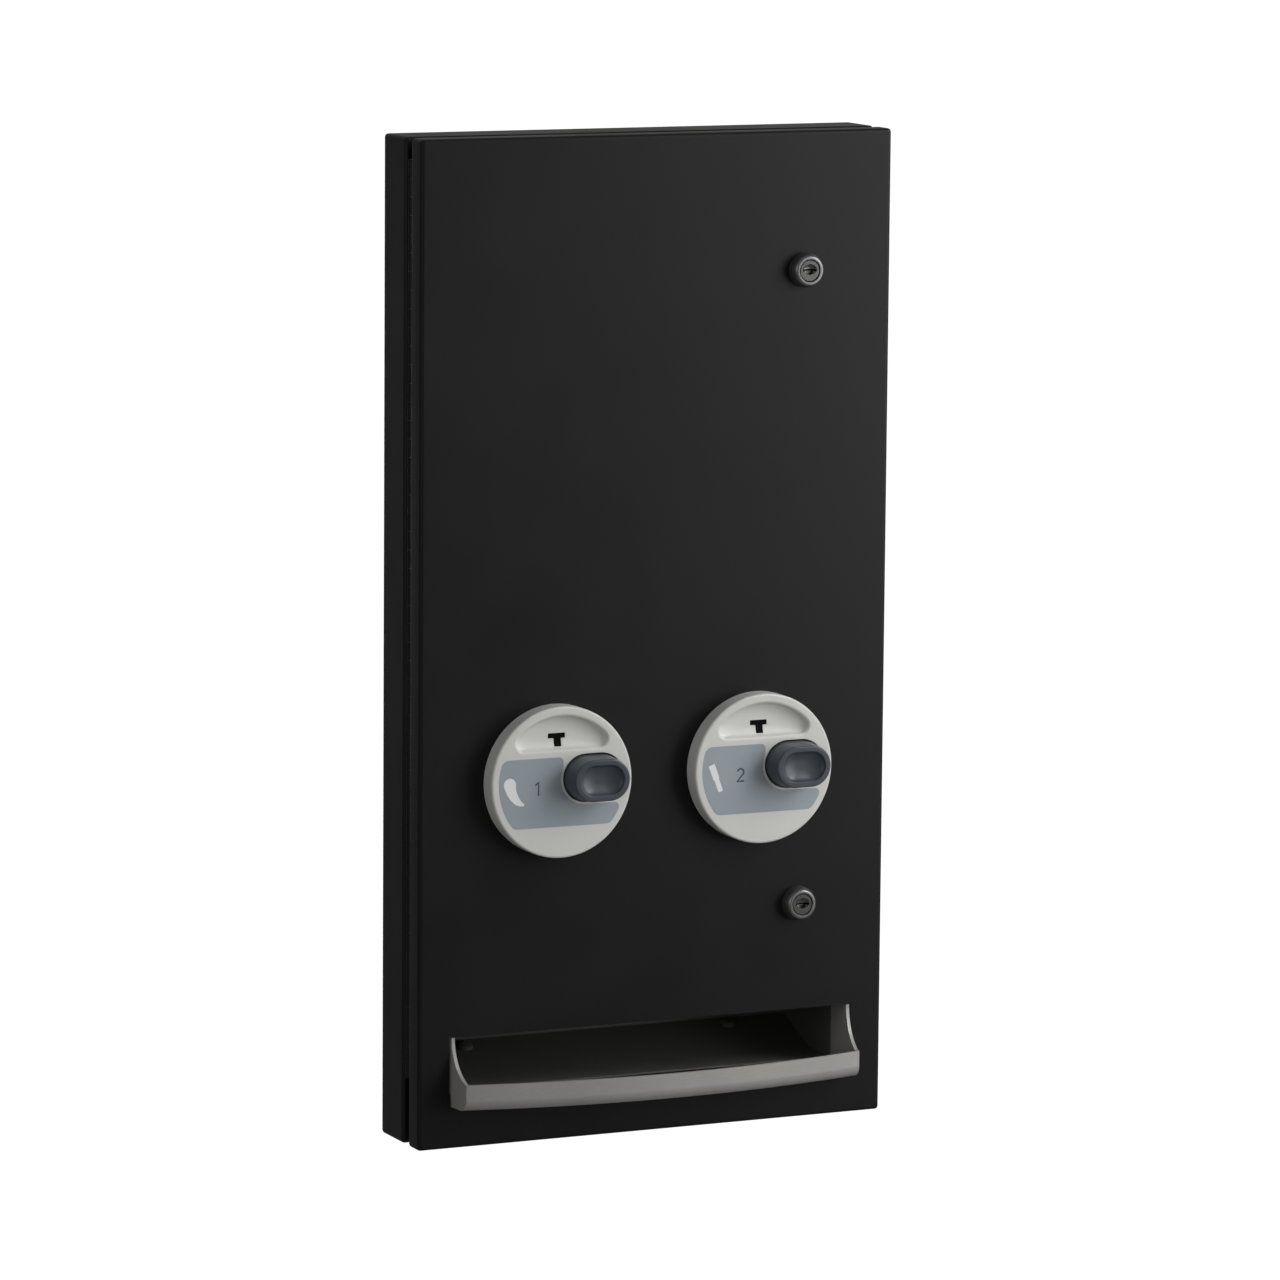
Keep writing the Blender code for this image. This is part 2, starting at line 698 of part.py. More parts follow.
def make_hinge():
    quarter = 1 / 4
    frame_leaf = hinge_leaf("hinge_frame_leaf", 1, quarter)
    door_leaf = hinge_leaf("hinge_door_leaf", -1, 1 - quarter)
    pin = rod(
        "hinge_pin",
        HINGE_PIN_RADIUS,
        (HINGE_X, HINGE_Y, HINGE_BOTTOM_Z),
        (HINGE_X, HINGE_Y, HINGE_TOP_Z),
        HINGE_PIN_SIDES,
    )
    return frame_leaf, door_leaf, in_parts(smooth(pin), ZINC_STEEL)


def dials():
    """Each dial's name and its centre across the door."""
    return (("pad", -DIAL_SPREAD), ("tampon", DIAL_SPREAD))


def locks():
    return (("upper", UPPER_LOCK_HEIGHT), ("lower", LOWER_LOCK_HEIGHT))


def magazines():
    """Each magazine's name, its centre across the cabinet and its channel's width."""
    return (
        ("pad", -MAGAZINE_SPREAD, PAD_CHANNEL_WIDTH),
        ("tampon", MAGAZINE_SPREAD, TAMPON_CHANNEL_WIDTH),
    )


def bracket_screw_places(x):
    return [(x, BUTTON_Z - BRACKET_SCREW_SPREAD), (x, BUTTON_Z + BRACKET_SCREW_SPREAD)]


def make_door():
    door = open_box(
        "door_panel",
        (-HALF_WIDTH, DOOR_FRONT_Y, -HALF_HEIGHT),
        (HALF_WIDTH, DOOR_REAR_Y, HALF_HEIGHT),
        (DOOR_FLANGE,),
        ((1, 1),),
    )
    bevel(door, BEND_RADIUS, BEND_STEPS)
    solidify(door, SHEET, -1)
    front, back = DOOR_FRONT_Y - CUT_OVERRUN, DOOR_INNER_Y + CUT_OVERRUN
    for _, x in dials():
        button_x = x + BUTTON_OFFSET_X
        opening = obround(
            (button_x, BUTTON_Z),
            SLEEVE_HALF_WIDTH + HOLE_PLAY,
            SLEEVE_HALF_HEIGHT + HOLE_PLAY,
            BUTTON_END_STEPS,
        )
        cut(door, plate("door_sleeve_hole", [opening], FACING_FRONT, front, back))
        for hole_x, hole_z in bracket_screw_places(button_x):
            cut(door, screw_hole("door_screw_hole", (hole_x, DOOR_INNER_Y, hole_z), (0, 1, 0), CUT_OVERRUN))
    for _, height in locks():
        cut(
            door,
            rod(
                "door_lock_hole",
                LOCK_BARREL_RADIUS + HOLE_PLAY,
                (LOCK_OFFSET_X, front, height),
                (LOCK_OFFSET_X, back, height),
                LOCK_STEPS,
            ),
        )
    opening_half = TRAY_HALF_WIDTH + TRAY_SIDE_PLAY
    cut(
        door,
        box(
            "door_tray_opening",
            (-opening_half, front, TRAY_BOTTOM - FIT_GAP),
            (opening_half, back, TRAY_TOP + FIT_GAP),
        ),
    )
    for side in (-1, 1):
        stud = rod(
            "door_tray_stud",
            SCREW_RADIUS,
            (side * TRAY_STUD_X, DOOR_INNER_Y - SHEET / 2, TRAY_STUD_HEIGHT),
            (side * TRAY_STUD_X, DOOR_INNER_Y + TRAY_STUD_LENGTH, TRAY_STUD_HEIGHT),
            SCREW_STEPS,
        )
        join(door, stud)
    return in_parts(door, BLACK_PAINT)


def scoop_outline(x, grow):
    """The recess: a circle's segment with a straight lower edge and rounded corners."""
    radius = SCOOP_RADIUS + grow
    floor = SCOOP_FLOOR_HEIGHT - grow
    corner = SCOOP_CORNER + grow
    corner_z = floor + corner
    corner_x = math.sqrt((radius - corner) ** 2 - corner_z**2)
    lean = math.degrees(math.atan2(corner_z, corner_x))
    top_steps, corner_steps = 10, 5
    outline = arc((corner_x, corner_z), corner, -90, lean, corner_steps)
    outline += arc((0, 0), radius, lean, 180 - lean, top_steps)[1:-1]
    outline += arc((-corner_x, corner_z), corner, 180 - lean, 270, corner_steps)
    return [(x + u, DIAL_HEIGHT + v) for u, v in outline]


def hollowed(name, outline, face_y, depth, centre, bottom_shares, steps):
    """A cutter for a smooth hollow: its outline shrinks as it goes in, as a quarter wave."""
    bm = bmesh.new()
    pivot = Vector((centre[0], 0, centre[1]))
    bottom = bm.faces.new([bm.verts.new((u, face_y - CUT_OVERRUN, v)) for u, v in outline])
    rings = [(CUT_OVERRUN, 1.0, 1.0)]
    for step in range(1, steps + 1):
        angle = math.radians(90) * step / steps
        before = math.radians(90) * (step - 1) / steps
        deeper = depth * (math.sin(angle) - math.sin(before))
        shares = []
        for share in bottom_shares:
            now = share + (1 - share) * math.cos(angle)
            was = share + (1 - share) * math.cos(before)
            shares.append(now / was)
        rings.append((deeper, shares[0], shares[1]))
    for deeper, across, up in rings:
        grown = bmesh.ops.extrude_face_region(bm, geom=[bottom])
        bmesh.ops.delete(bm, geom=[bottom], context="FACES_ONLY")
        verts = [item for item in grown["geom"] if isinstance(item, bmesh.types.BMVert)]
        bottom = next(item for item in grown["geom"] if isinstance(item, bmesh.types.BMFace))
        for vert in verts:
            vert.co = pivot + Vector(
                ((vert.co.x - pivot.x) * across, vert.co.y + deeper, (vert.co.z - pivot.z) * up)
            )
    lid = [vert for vert in bm.verts if vert.co.y < face_y - CUT_OVERRUN / 2]
    bmesh.ops.contextual_create(bm, geom=lid)
    return solid(name, bm)


def slot_outline(x):
    """The T-shaped slot, with its bar over its stem."""
    centre = x + SLOT_OFFSET
    top = DIAL_HEIGHT + SLOT_TOP
    under = top - SLOT_BAR_HEIGHT
    foot = under - SLOT_STEM_HEIGHT
    bar, stem = SLOT_BAR_WIDTH / 2, SLOT_STEM_WIDTH / 2
    return [
        (centre - bar, top),
        (centre - bar, under),
        (centre - stem, under),
        (centre - stem, foot),
        (centre + stem, foot),
        (centre + stem, under),
        (centre + bar, under),
        (centre + bar, top),
    ]


def label_outline(x, grow):
    """The label fills a disc's lower part and steps round the button's ring."""
    radius = LABEL_RADIUS + grow
    top, bottom = LABEL_TOP + grow, LABEL_BOTTOM - grow
    half_height = LABEL_RING_HALF_HEIGHT - grow
    ring_x = BUTTON_OFFSET_X - (LABEL_RING_HALF_WIDTH - LABEL_RING_HALF_HEIGHT)
    ring_z = BUTTON_OFFSET_Z
    step_z = ring_z - half_height
    edge = LABEL_EDGE_OFFSET + grow
    side_steps, ring_steps = 6, 9
    left_top = 180 - math.degrees(math.asin(top / radius))
    left_bottom = 180 - math.degrees(math.asin(bottom / radius))
    right_bottom = math.degrees(math.asin(bottom / radius))
    right_top = math.degrees(math.asin(step_z / radius))
    meet = math.degrees(math.acos((edge - ring_x) / half_height))
    outline = [(edge, top)]
    outline += arc((0, 0), radius, left_top, left_bottom, side_steps)
    outline += arc((0, 0), radius, right_bottom, right_top, 2)
    outline += arc((ring_x, ring_z), half_height, 270, meet, ring_steps)
    outline = fillet(outline, LABEL_CORNER + grow, 3)
    return [(x + u, DIAL_HEIGHT + v) for u, v in outline]


def pad_symbol_outline(x, grow):
    """A pad's shape: a bowed stroke with a round head that thins to a rounded tail."""
    spine = [Vector(point) for point in PAD_SYMBOL_SPINE]
    head_steps, tail_steps = 7, 3
    near, far = [], []
    for index, (point, half) in enumerate(zip(spine, PAD_SYMBOL_HALF_WIDTHS)):
        before, after = spine[max(index - 1, 0)], spine[min(index + 1, len(spine) - 1)]
        across = (after - before).orthogonal().normalized() * (half + grow)
        near.append(point + across)
        far.append(point - across)
    outline = near[1:-1]
    outline += rounded_end(spine[-1], near[-1], tail_steps)
    outline += far[-2:0:-1]
    outline += rounded_end(spine[0], far[0], head_steps)
    return [(x + point.x, DIAL_HEIGHT + point.y) for point in outline]


def rounded_end(centre, first, steps):
    """Half a turn round a stroke's end, clockwise from its first point."""
    points = []
    for step in range(steps + 1):
        spoke = first - centre
        spoke.rotate(Matrix.Rotation(-math.pi * step / steps, 2))
        points.append(centre + spoke)
    return points


def tampon_symbol_outline(x, grow):
    """A tampon in its tube: a wide barrel over a narrower plunger with rounded corners, leaning."""
    half = TAMPON_SYMBOL_LENGTH / 2 + grow
    barrel, plunger = TAMPON_SYMBOL_WIDTH / 2 + grow, TAMPON_SYMBOL_PLUNGER_WIDTH / 2 + grow
    shoulder = half - TAMPON_SYMBOL_LENGTH * TAMPON_SYMBOL_BARREL_SHARE - 2 * grow
    corner = TAMPON_SYMBOL_CORNER + grow
    outline = [(barrel, half), (-barrel, half), (-barrel, shoulder), (-plunger, shoulder)]
    outline += arc((corner - plunger, corner - half), corner, 180, 270, 3)
    outline += arc((plunger - corner, corner - half), corner, 270, 360, 3)
    outline += [(plunger, shoulder), (barrel, shoulder)]
    lean = math.radians(TAMPON_SYMBOL_TILT_DEGREES)
    cosine, sine = math.cos(lean), math.sin(lean)
    outline = [(u * cosine - v * sine, u * sine + v * cosine) for u, v in outline]
    centre_x, centre_z = x + TAMPON_SYMBOL_CENTRE[0], DIAL_HEIGHT + TAMPON_SYMBOL_CENTRE[1]
    return [(centre_x + u, centre_z + v) for u, v in outline]


SYMBOLS = {"pad": pad_symbol_outline, "tampon": tampon_symbol_outline}


def make_dial(name, x):
    depth = DIAL_DEPTH - FIT_GAP
    inner = DIAL_RADIUS - DIAL_SIDE_WALL
    ceiling = depth - DIAL_FRONT_WALL
    edge_centre = (DIAL_RADIUS - DIAL_EDGE, depth - DIAL_EDGE)
    profile = [(0, depth)]
    profile += arc(edge_centre, DIAL_EDGE, 90, 0, DIAL_EDGE_STEPS)
    profile += [(DIAL_RADIUS, 0), (inner, 0), (inner, ceiling), (0, ceiling)]
    housing = turned(name + "_dial_housing", profile, (x, DIAL_BACK_Y, DIAL_HEIGHT), (0, -1, 0), DIAL_STEPS)
    button_x = x + BUTTON_OFFSET_X
    hole = obround(
        (button_x, BUTTON_Z),
        BUTTON_BASE_HALF_WIDTH + BUTTON_PLAY,
        BUTTON_BASE_HALF_HEIGHT + BUTTON_PLAY,
        BUTTON_END_STEPS,
    )
    sleeve = obround((button_x, BUTTON_Z), SLEEVE_HALF_WIDTH, SLEEVE_HALF_HEIGHT, BUTTON_END_STEPS)
    inside = DIAL_FACE_Y + UNION_LAP
    backing_y = DIAL_FACE_Y + SCOOP_DEPTH + SCOOP_BACKING
    join(
        housing,
        plate("scoop_backing", [scoop_outline(x, SCOOP_BACKING)], FACING_FRONT, inside, backing_y),
        plate("button_sleeve", [sleeve], FACING_FRONT, inside, DOOR_FRONT_Y + SLEEVE_REACH),
    )
    for place_x, place_z in bracket_screw_places(button_x):
        start, end = (place_x, inside, place_z), (place_x, DIAL_BACK_Y, place_z)
        join(housing, rod("screw_boss", BOSS_RADIUS, start, end, SCREW_STEPS))
        bottom = (place_x, DIAL_BACK_Y - BOSS_HOLE_DEPTH, place_z)
        mouth = (place_x, DIAL_BACK_Y + CUT_OVERRUN, place_z)
        cut(housing, rod("boss_hole", SCREW_RADIUS + HOLE_PLAY, bottom, mouth, SCREW_STEPS))
    front = DIAL_FACE_Y - CUT_OVERRUN
    pocket_y = DIAL_FACE_Y + LABEL_THICKNESS + FIT_GAP
    scoop_centre = (x, DIAL_HEIGHT + (SCOOP_FLOOR_HEIGHT + SCOOP_RADIUS) / 2)
    cut(
        housing,
        plate("button_hole", [hole], FACING_FRONT, front, DOOR_FRONT_Y + SLEEVE_REACH + CUT_OVERRUN),
        hollowed(
            "scoop",
            scoop_outline(x, 0),
            DIAL_FACE_Y,
            SCOOP_DEPTH,
            scoop_centre,
            SCOOP_BOTTOM_SHARES,
            SCOOP_STEPS,
        ),
        plate("slot", [slot_outline(x)], FACING_FRONT, front, backing_y + CUT_OVERRUN),
        plate("label_pocket", [label_outline(x, FIT_GAP)], FACING_FRONT, front, pocket_y),
    )
    in_parts(housing, DIAL_PLASTIC)

    symbol = SYMBOLS[name]
    label_back = DIAL_FACE_Y + LABEL_THICKNESS
    outlines = [label_outline(x, 0), symbol(x, FIT_GAP)]
    label = plate(name + "_dial_label", outlines, FACING_FRONT, DIAL_FACE_Y, label_back)
    in_parts(label, LABEL_FILM)
    mark = plate(
        name + "_symbol", [symbol(x, 0)], FACING_FRONT, DIAL_FACE_Y, DIAL_FACE_Y + SYMBOL_THICKNESS
    )
    in_parts(mark, SYMBOL_FILM)

    slot_x, slot_top = x + SLOT_OFFSET, DIAL_HEIGHT + SLOT_TOP
    slot_foot = slot_top - SLOT_BAR_HEIGHT - SLOT_STEM_HEIGHT
    half = SLOT_BAR_WIDTH / 2 + BLANK_MARGIN
    blank = box(
        name + "_slot_blank",
        (slot_x - half, backing_y + FIT_GAP, slot_foot - BLANK_MARGIN),
        (slot_x + half, backing_y + FIT_GAP + BLANK_THICKNESS, slot_top + BLANK_MARGIN),
    )
    in_parts(blank, BLANK_PLASTIC)
    return housing, label, mark, blank


def button_outline(x, shrink, rear):
    """The button's section: its front size, or its base size at the rear, less what is shrunk."""
    half_width = BUTTON_BASE_HALF_WIDTH if rear else BUTTON_FRONT_HALF_WIDTH
    half_height = BUTTON_BASE_HALF_HEIGHT if rear else BUTTON_FRONT_HALF_HEIGHT
    return obround((x, BUTTON_Z), half_width - shrink, half_height - shrink, BUTTON_END_STEPS)


def lofted(name, sections, facing):
    """A solid through a row of outlines that have as many points each, each at its own place."""
    turn, axis = facing
    bm = bmesh.new()
    rings = []
    for place, outline in sections:
        rings.append([bm.verts.new(turn @ Vector((*point, 0)) + axis * place) for point in outline])
    for near, far in zip(rings, rings[1:]):
        for index in range(len(near)):
            after = (index + 1) % len(near)
            bm.faces.new((near[index], near[after], far[after], far[index]))
    bm.faces.new(rings[0])
    bm.faces.new(rings[-1])
    return solid(name, bm)


def make_button(name, x):
    button_x = x + BUTTON_OFFSET_X
    front_y = DIAL_FACE_Y - BUTTON_PROUD
    sections = []
    for step in range(BUTTON_EDGE_STEPS + 1):
        angle = math.radians(90) * step / BUTTON_EDGE_STEPS
        back = BUTTON_EDGE * (1 - math.cos(angle))
        shrink = BUTTON_EDGE * (1 - math.sin(angle))
        sections.append((front_y + back, button_outline(button_x, shrink, False)))
    sections.append((DIAL_FACE_Y, button_outline(button_x, 0, True)))
    sections.append((BUTTON_REAR_Y, button_outline(button_x, 0, True)))
    button = lofted(name + "_button", sections, FACING_FRONT)
    dish = obround((button_x, BUTTON_Z), DISH_HALF_WIDTH, DISH_HALF_HEIGHT, BUTTON_END_STEPS)
    seat_y = POCKET_ROOF_Y - PLUNGER_SEAT
    cut(
        button,
        hollowed(
            "finger_dish",
            dish,
            front_y,
            DISH_DEPTH,
            (button_x, BUTTON_Z),
            DISH_BOTTOM_SHARES,
            DISH_STEPS,
        ),
        rod(
            "spring_pocket",
            SPRING_POCKET_RADIUS,
            (button_x, POCKET_ROOF_Y, BUTTON_Z),
            (button_x, BUTTON_REAR_Y + CUT_OVERRUN, BUTTON_Z),
            PLUNGER_STEPS,
        ),
        rod(
            "plunger_hole",
            PLUNGER_RADIUS + FIT_GAP,
            (button_x, seat_y - FIT_GAP, BUTTON_Z),
            (button_x, POCKET_ROOF_Y + CUT_OVERRUN, BUTTON_Z),
            PLUNGER_STEPS,
        ),
    )
    in_parts(button, BUTTON_PLASTIC)

    plunger = rod(
        name + "_plunger",
        PLUNGER_RADIUS,
        (button_x, seat_y, BUTTON_Z),
        (button_x, PLUNGER_TIP_Y, BUTTON_Z),
        PLUNGER_STEPS,
    )
    in_parts(smooth(plunger), ZINC_STEEL)
    clip_y = BRACKET_REAR_Y + FIT_GAP
    clip = plate(
        name + "_clip",
        [
            circle((button_x, BUTTON_Z), CLIP_RADIUS, PLUNGER_STEPS),
            circle((button_x, BUTTON_Z), PLUNGER_RADIUS + FIT_GAP, PLUNGER_STEPS),
        ],
        FACING_FRONT,
        clip_y,
        clip_y + CLIP_THICKNESS,
    )
    in_parts(clip, ZINC_STEEL)
    return button, plunger, clip


def make_spring(name, x):
    button_x = x + BUTTON_OFFSET_X
    start = POCKET_ROOF_Y + FIT_GAP + SPRING_WIRE_RADIUS
    end = BRACKET_SEAT_Y - FIT_GAP - SPRING_WIRE_RADIUS
    curve = bpy.data.curves.new(name + "_spring", "CURVE")
    curve.dimensions = "3D"
    curve.bevel_depth = SPRING_WIRE_RADIUS
    curve.bevel_resolution = 1
    curve.use_fill_caps = True
    spline = curve.splines.new("POLY")
    count = SPRING_TURNS * SPRING_POINTS
    spline.points.add(count)
    for index, point in enumerate(spline.points):
        angle = 2 * math.pi * index / SPRING_POINTS
        u, v = SPRING_RADIUS * math.cos(angle), SPRING_RADIUS * math.sin(angle)
        point.co = (button_x + u, start + (end - start) * index / count, BUTTON_Z + v, 1)
    return in_parts(bpy.data.objects.new(name + "_spring", curve), SPRING_STEEL)


def make_bracket(name, x):
    button_x = x + BUTTON_OFFSET_X
    half_sheet = BRACKET_SHEET / 2
    leg = SLEEVE_HALF_HEIGHT + BRACKET_LEG_GAP + half_sheet
    foot_y = DOOR_INNER_Y + FIT_GAP + half_sheet
    top_y = BRACKET_REAR_Y - half_sheet
    path = [
        (foot_y, BUTTON_Z + leg + BRACKET_FOOT),
        (foot_y, BUTTON_Z + leg),
        (top_y, BUTTON_Z + leg),
        (top_y, BUTTON_Z - leg),
        (foot_y, BUTTON_Z - leg),
        (foot_y, BUTTON_Z - leg - BRACKET_FOOT),
    ]
    half = BRACKET_WIDTH / 2
    bracket = folded(
        name + "_bracket", path, FACING_SIDE, button_x - half, button_x + half, BRACKET_SHEET
    )
    cut(
        bracket,
        rod(
            "bracket_plunger_hole",
            PLUNGER_RADIUS + HOLE_PLAY,
            (button_x, top_y - CUT_OVERRUN, BUTTON_Z),
            (button_x, top_y + CUT_OVERRUN, BUTTON_Z),
            PLUNGER_STEPS,
        ),
    )
    pieces = [bracket]
    seat_y = foot_y + half_sheet + FIT_GAP
    reach = seat_y - DIAL_BACK_Y + BOSS_SCREW_DEPTH
    for word, (place_x, place_z) in zip(("lower", "upper"), bracket_screw_places(button_x)):
        cut(bracket, screw_hole("bracket_screw_hole", (place_x, foot_y, place_z), (0, 1, 0), CUT_OVERRUN))
        screw = pan_head(
            f"{name}_bracket_screw_{word}",
            (place_x, seat_y, place_z),
            (0, 1, 0),
            reach,
            SCREW_HEAD_RADIUS,
            SCREW_HEAD_HEIGHT,
        )
        pieces.append(in_parts(screw, ZINC_STEEL))
    in_parts(bracket, ZINC_STEEL)
    return pieces


def make_lock(name, height):
    """The lock's fixed body and nut, and the plug, cam and screw that turn."""
    origin = (LOCK_OFFSET_X, DOOR_FRONT_Y, height)
    front = (0, -1, 0)
    bezel = [
        (LOCK_BORE_RADIUS, LOCK_PROUD),
        (LOCK_FACE_RADIUS, LOCK_PROUD),
        (LOCK_SHOULDER_RADIUS, LOCK_SHOULDER_HEIGHT),
        (LOCK_BASE_RADIUS, FIT_GAP),
        (LOCK_BARREL_RADIUS, FIT_GAP),
        (LOCK_BARREL_RADIUS, -LOCK_BARREL_REACH),
        (LOCK_BORE_RADIUS, -LOCK_BARREL_REACH),
    ]
    body = turned(name + "_lock_body", bezel, origin, front, LOCK_STEPS, closed=True)
    in_parts(smooth(body), LOCK_METAL)

    face, tail = LOCK_PROUD - PLUG_RECESS, -LOCK_BARREL_REACH - PLUG_TAIL
    plug_profile = [(0, face), (PLUG_RADIUS, face), (PLUG_RADIUS, tail), (0, tail)]
    plug = turned(name + "_lock_plug", plug_profile, origin, front, LOCK_STEPS)
    half_width, half_height = KEYWAY_WIDTH / 2, KEYWAY_HEIGHT / 2
    face_y = DOOR_FRONT_Y - face
    cut(
        plug,
        box(
            "keyway",
            (LOCK_OFFSET_X - half_width, face_y - CUT_OVERRUN, height - half_height),
            (LOCK_OFFSET_X + half_width, face_y + KEYWAY_DEPTH, height + half_height),
        ),
        rod(
            "cam_screw_hole",
            SCREW_RADIUS + HOLE_PLAY,
            (LOCK_OFFSET_X, DOOR_FRONT_Y - tail - CAM_SCREW_REACH - FIT_GAP, height),
            (LOCK_OFFSET_X, DOOR_FRONT_Y - tail + CUT_OVERRUN, height),
            SCREW_STEPS,
        ),
    )
    in_parts(plug, LOCK_METAL)

    nut_y = DOOR_INNER_Y + FIT_GAP
    nut = plate(
        name + "_lock_nut",
        [
            circle((LOCK_OFFSET_X, height), LOCK_NUT_RADIUS, 6),
            circle((LOCK_OFFSET_X, height), LOCK_BARREL_RADIUS + FIT_GAP, LOCK_STEPS),
        ],
        FACING_FRONT,
        nut_y,
        nut_y + LOCK_NUT_THICKNESS,
    )
    in_parts(nut, ZINC_STEEL)

    half_length = (CAM_REACH + CAM_HALF_WIDTH) / 2
    middle = height + CAM_HALF_WIDTH - half_length
    upright = obround((0, 0), half_length, CAM_HALF_WIDTH, 4)
    outline = [(LOCK_OFFSET_X - v, middle + u) for u, v in upright]
    cam = plate(
        name + "_cam",
        [outline, circle((LOCK_OFFSET_X, height), SCREW_RADIUS + HOLE_PLAY, SCREW_STEPS)],
        FACING_FRONT,
        CAM_FRONT_Y,
        CAM_REAR_Y,
    )
    in_parts(cam, ZINC_STEEL)
    screw = pan_head(
        name + "_cam_screw",
        (LOCK_OFFSET_X, CAM_REAR_Y + FIT_GAP, height),
        (0, 1, 0),
        CAM_REAR_Y + FIT_GAP - CAM_FRONT_Y + CAM_SCREW_REACH,
        SCREW_HEAD_RADIUS,
        SCREW_HEAD_HEIGHT,
    )
    in_parts(screw, ZINC_STEEL)
    return (body, nut), (plug, cam, screw)


def make_strike(name, height):
    tongue_y = CAM_FRONT_Y - FIT_GAP - SHEET / 2
    foot_x = TUB_INNER_HALF_WIDTH - FIT_GAP - SHEET / 2
    tip_x = LOCK_OFFSET_X + CAM_REACH - STRIKE_LAP
    path = [(tip_x, tongue_y), (foot_x, tongue_y), (foot_x, tongue_y + STRIKE_FOOT)]
    half = STRIKE_HEIGHT / 2
    strike = folded(name + "_strike", path, FACING_UP, height - half, height + half, SHEET)
    return in_parts(strike, ZINC_STEEL)


def tray_plan(inset):
    """The tray's sides from above: straight behind the door, and tapering in front of it."""
    rear_y = DOOR_FRONT_Y + TRAY_REAR_REACH + 2 * CUT_OVERRUN
    reach = TRAY_END_REACH + TRAY_BOW + CUT_OVERRUN
    half = TRAY_HALF_WIDTH - inset
    front_half = half - TRAY_TAPER * reach / TRAY_END_REACH
    right = [(half, rear_y), (half, DOOR_FRONT_Y), (front_half, DOOR_FRONT_Y - reach)]
    return right + [(-x, y) for x, y in reversed(right)]


def tray_lip_line():
    """The lip's front from above: an arc, and a straight stretch past each side for the cut."""
    radius = (TRAY_LIP_HALF_WIDTH**2 + TRAY_BOW**2) / (2 * TRAY_BOW)
    centre = (0, DOOR_FRONT_Y - TRAY_END_REACH - TRAY_BOW + radius)
    swing = math.degrees(math.asin(TRAY_HALF_WIDTH / radius))
    bow = arc(centre, radius, 270 - swing, 270 + swing, TRAY_BOW_STEPS)
    past_side = TRAY_HALF_WIDTH + CUT_OVERRUN
    return [(-past_side, bow[0][1])] + bow + [(past_side, bow[-1][1])]


def tray_bend(lip_y, inset):
    """The rolled edge between the lip and the floor, from the side."""
    centre = (lip_y + TRAY_BEND, TRAY_BOTTOM + TRAY_BEND)
    return arc(centre, TRAY_BEND - inset, 270, 180, TRAY_BEND_STEPS)


def tray_outside(lip_y):
    """The tray's outside from the side: a concave cheek edge falls from its top to the lip's top."""
    rear_y = DOOR_FRONT_Y + TRAY_REAR_REACH
    drop, run_out = TRAY_TOP - TRAY_LIP_TOP, TRAY_END_REACH - TRAY_SHEET
    radius = (run_out**2 + drop**2) / (2 * run_out)
    swing = math.degrees(math.asin(drop / radius))
    cheek = arc((DOOR_FRONT_Y - radius, TRAY_TOP), radius, 360 - swing, 360, TRAY_CHEEK_STEPS)
    front = tray_bend(lip_y, 0) + [(lip_y, TRAY_LIP_TOP)]
    return [(rear_y, TRAY_BOTTOM)] + front + cheek + [(rear_y, TRAY_TOP)]


def tray_inside(lip_y):
    """The tray's hollow from the side, which runs past the tray's top and its open rear."""
    rear_y, top = DOOR_FRONT_Y + TRAY_REAR_REACH + CUT_OVERRUN, TRAY_TOP + CUT_OVERRUN
    front = tray_bend(lip_y, TRAY_SHEET) + [(lip_y + TRAY_SHEET, top)]
    return [(rear_y, TRAY_BOTTOM + TRAY_SHEET)] + front + [(rear_y, top)]


def tray_block(name, section, inset):
    """A side outline that follows the lip's line, cut to the tray's plan."""
    block = lofted(name, [(x, section(lip_y)) for x, lip_y in tray_lip_line()], FACING_SIDE)
    low, high = TRAY_BOTTOM - CUT_OVERRUN, TRAY_TOP + 2 * CUT_OVERRUN
    plan = plate(name + "_plan", [tray_plan(inset)], FACING_UP, low, high)
    return combine(block, (plan,), "INTERSECT")


def make_tray():
    tray = tray_block("delivery_tray", tray_outside, 0)
    cut(tray, tray_block("tray_hollow", tray_inside, TRAY_CHEEK))
    flange_y = DOOR_INNER_Y + FIT_GAP
    for side in (-1, 1):
        inner_x = side * (TRAY_HALF_WIDTH - UNION_LAP)
        outer_x = side * (TRAY_HALF_WIDTH + TRAY_FLANGE)
        flange = box(
            "tray_flange",
            (min(inner_x, outer_x), flange_y, TRAY_BOTTOM + TRAY_BEND),
            (max(inner_x, outer_x), flange_y + TRAY_FLANGE_THICKNESS, TRAY_TOP),
        )
        join(tray, flange)
        place = (side * TRAY_STUD_X, flange_y, TRAY_STUD_HEIGHT)
        cut(tray, screw_hole("tray_stud_hole", place, (0, 1, 0), CUT_OVERRUN))
    pieces = [in_parts(tray, TRAY_SILVER)]
    nut_y = flange_y + TRAY_FLANGE_THICKNESS + FIT_GAP
    for word, side in (("left", -1), ("right", 1)):
        centre = (side * TRAY_STUD_X, TRAY_STUD_HEIGHT)
        nut = plate(
            "tray_nut_" + word,
            [circle(centre, TRAY_NUT_RADIUS, 6), circle(centre, SCREW_RADIUS + FIT_GAP, SCREW_STEPS)],
            FACING_FRONT,
            nut_y,
            nut_y + TRAY_NUT_THICKNESS,
        )
        pieces.append(in_parts(nut, ZINC_STEEL))
    return pieces


def ramp_points():
    """The ramp's upper surface from the side: its front edge, its bend and its back edge."""
    front = (DOOR_FRONT_Y + TRAY_REAR_REACH + FIT_GAP, RAMP_FRONT_HEIGHT)
    bend = (front[0] + RAMP_FLAT, RAMP_FRONT_HEIGHT)
    back_y = TUB_BACK_Y - FIT_GAP - SHEET
    rise = (back_y - bend[0]) * math.tan(math.radians(RAMP_ANGLE_DEGREES))
    return front, bend, (back_y, bend[1] + rise)


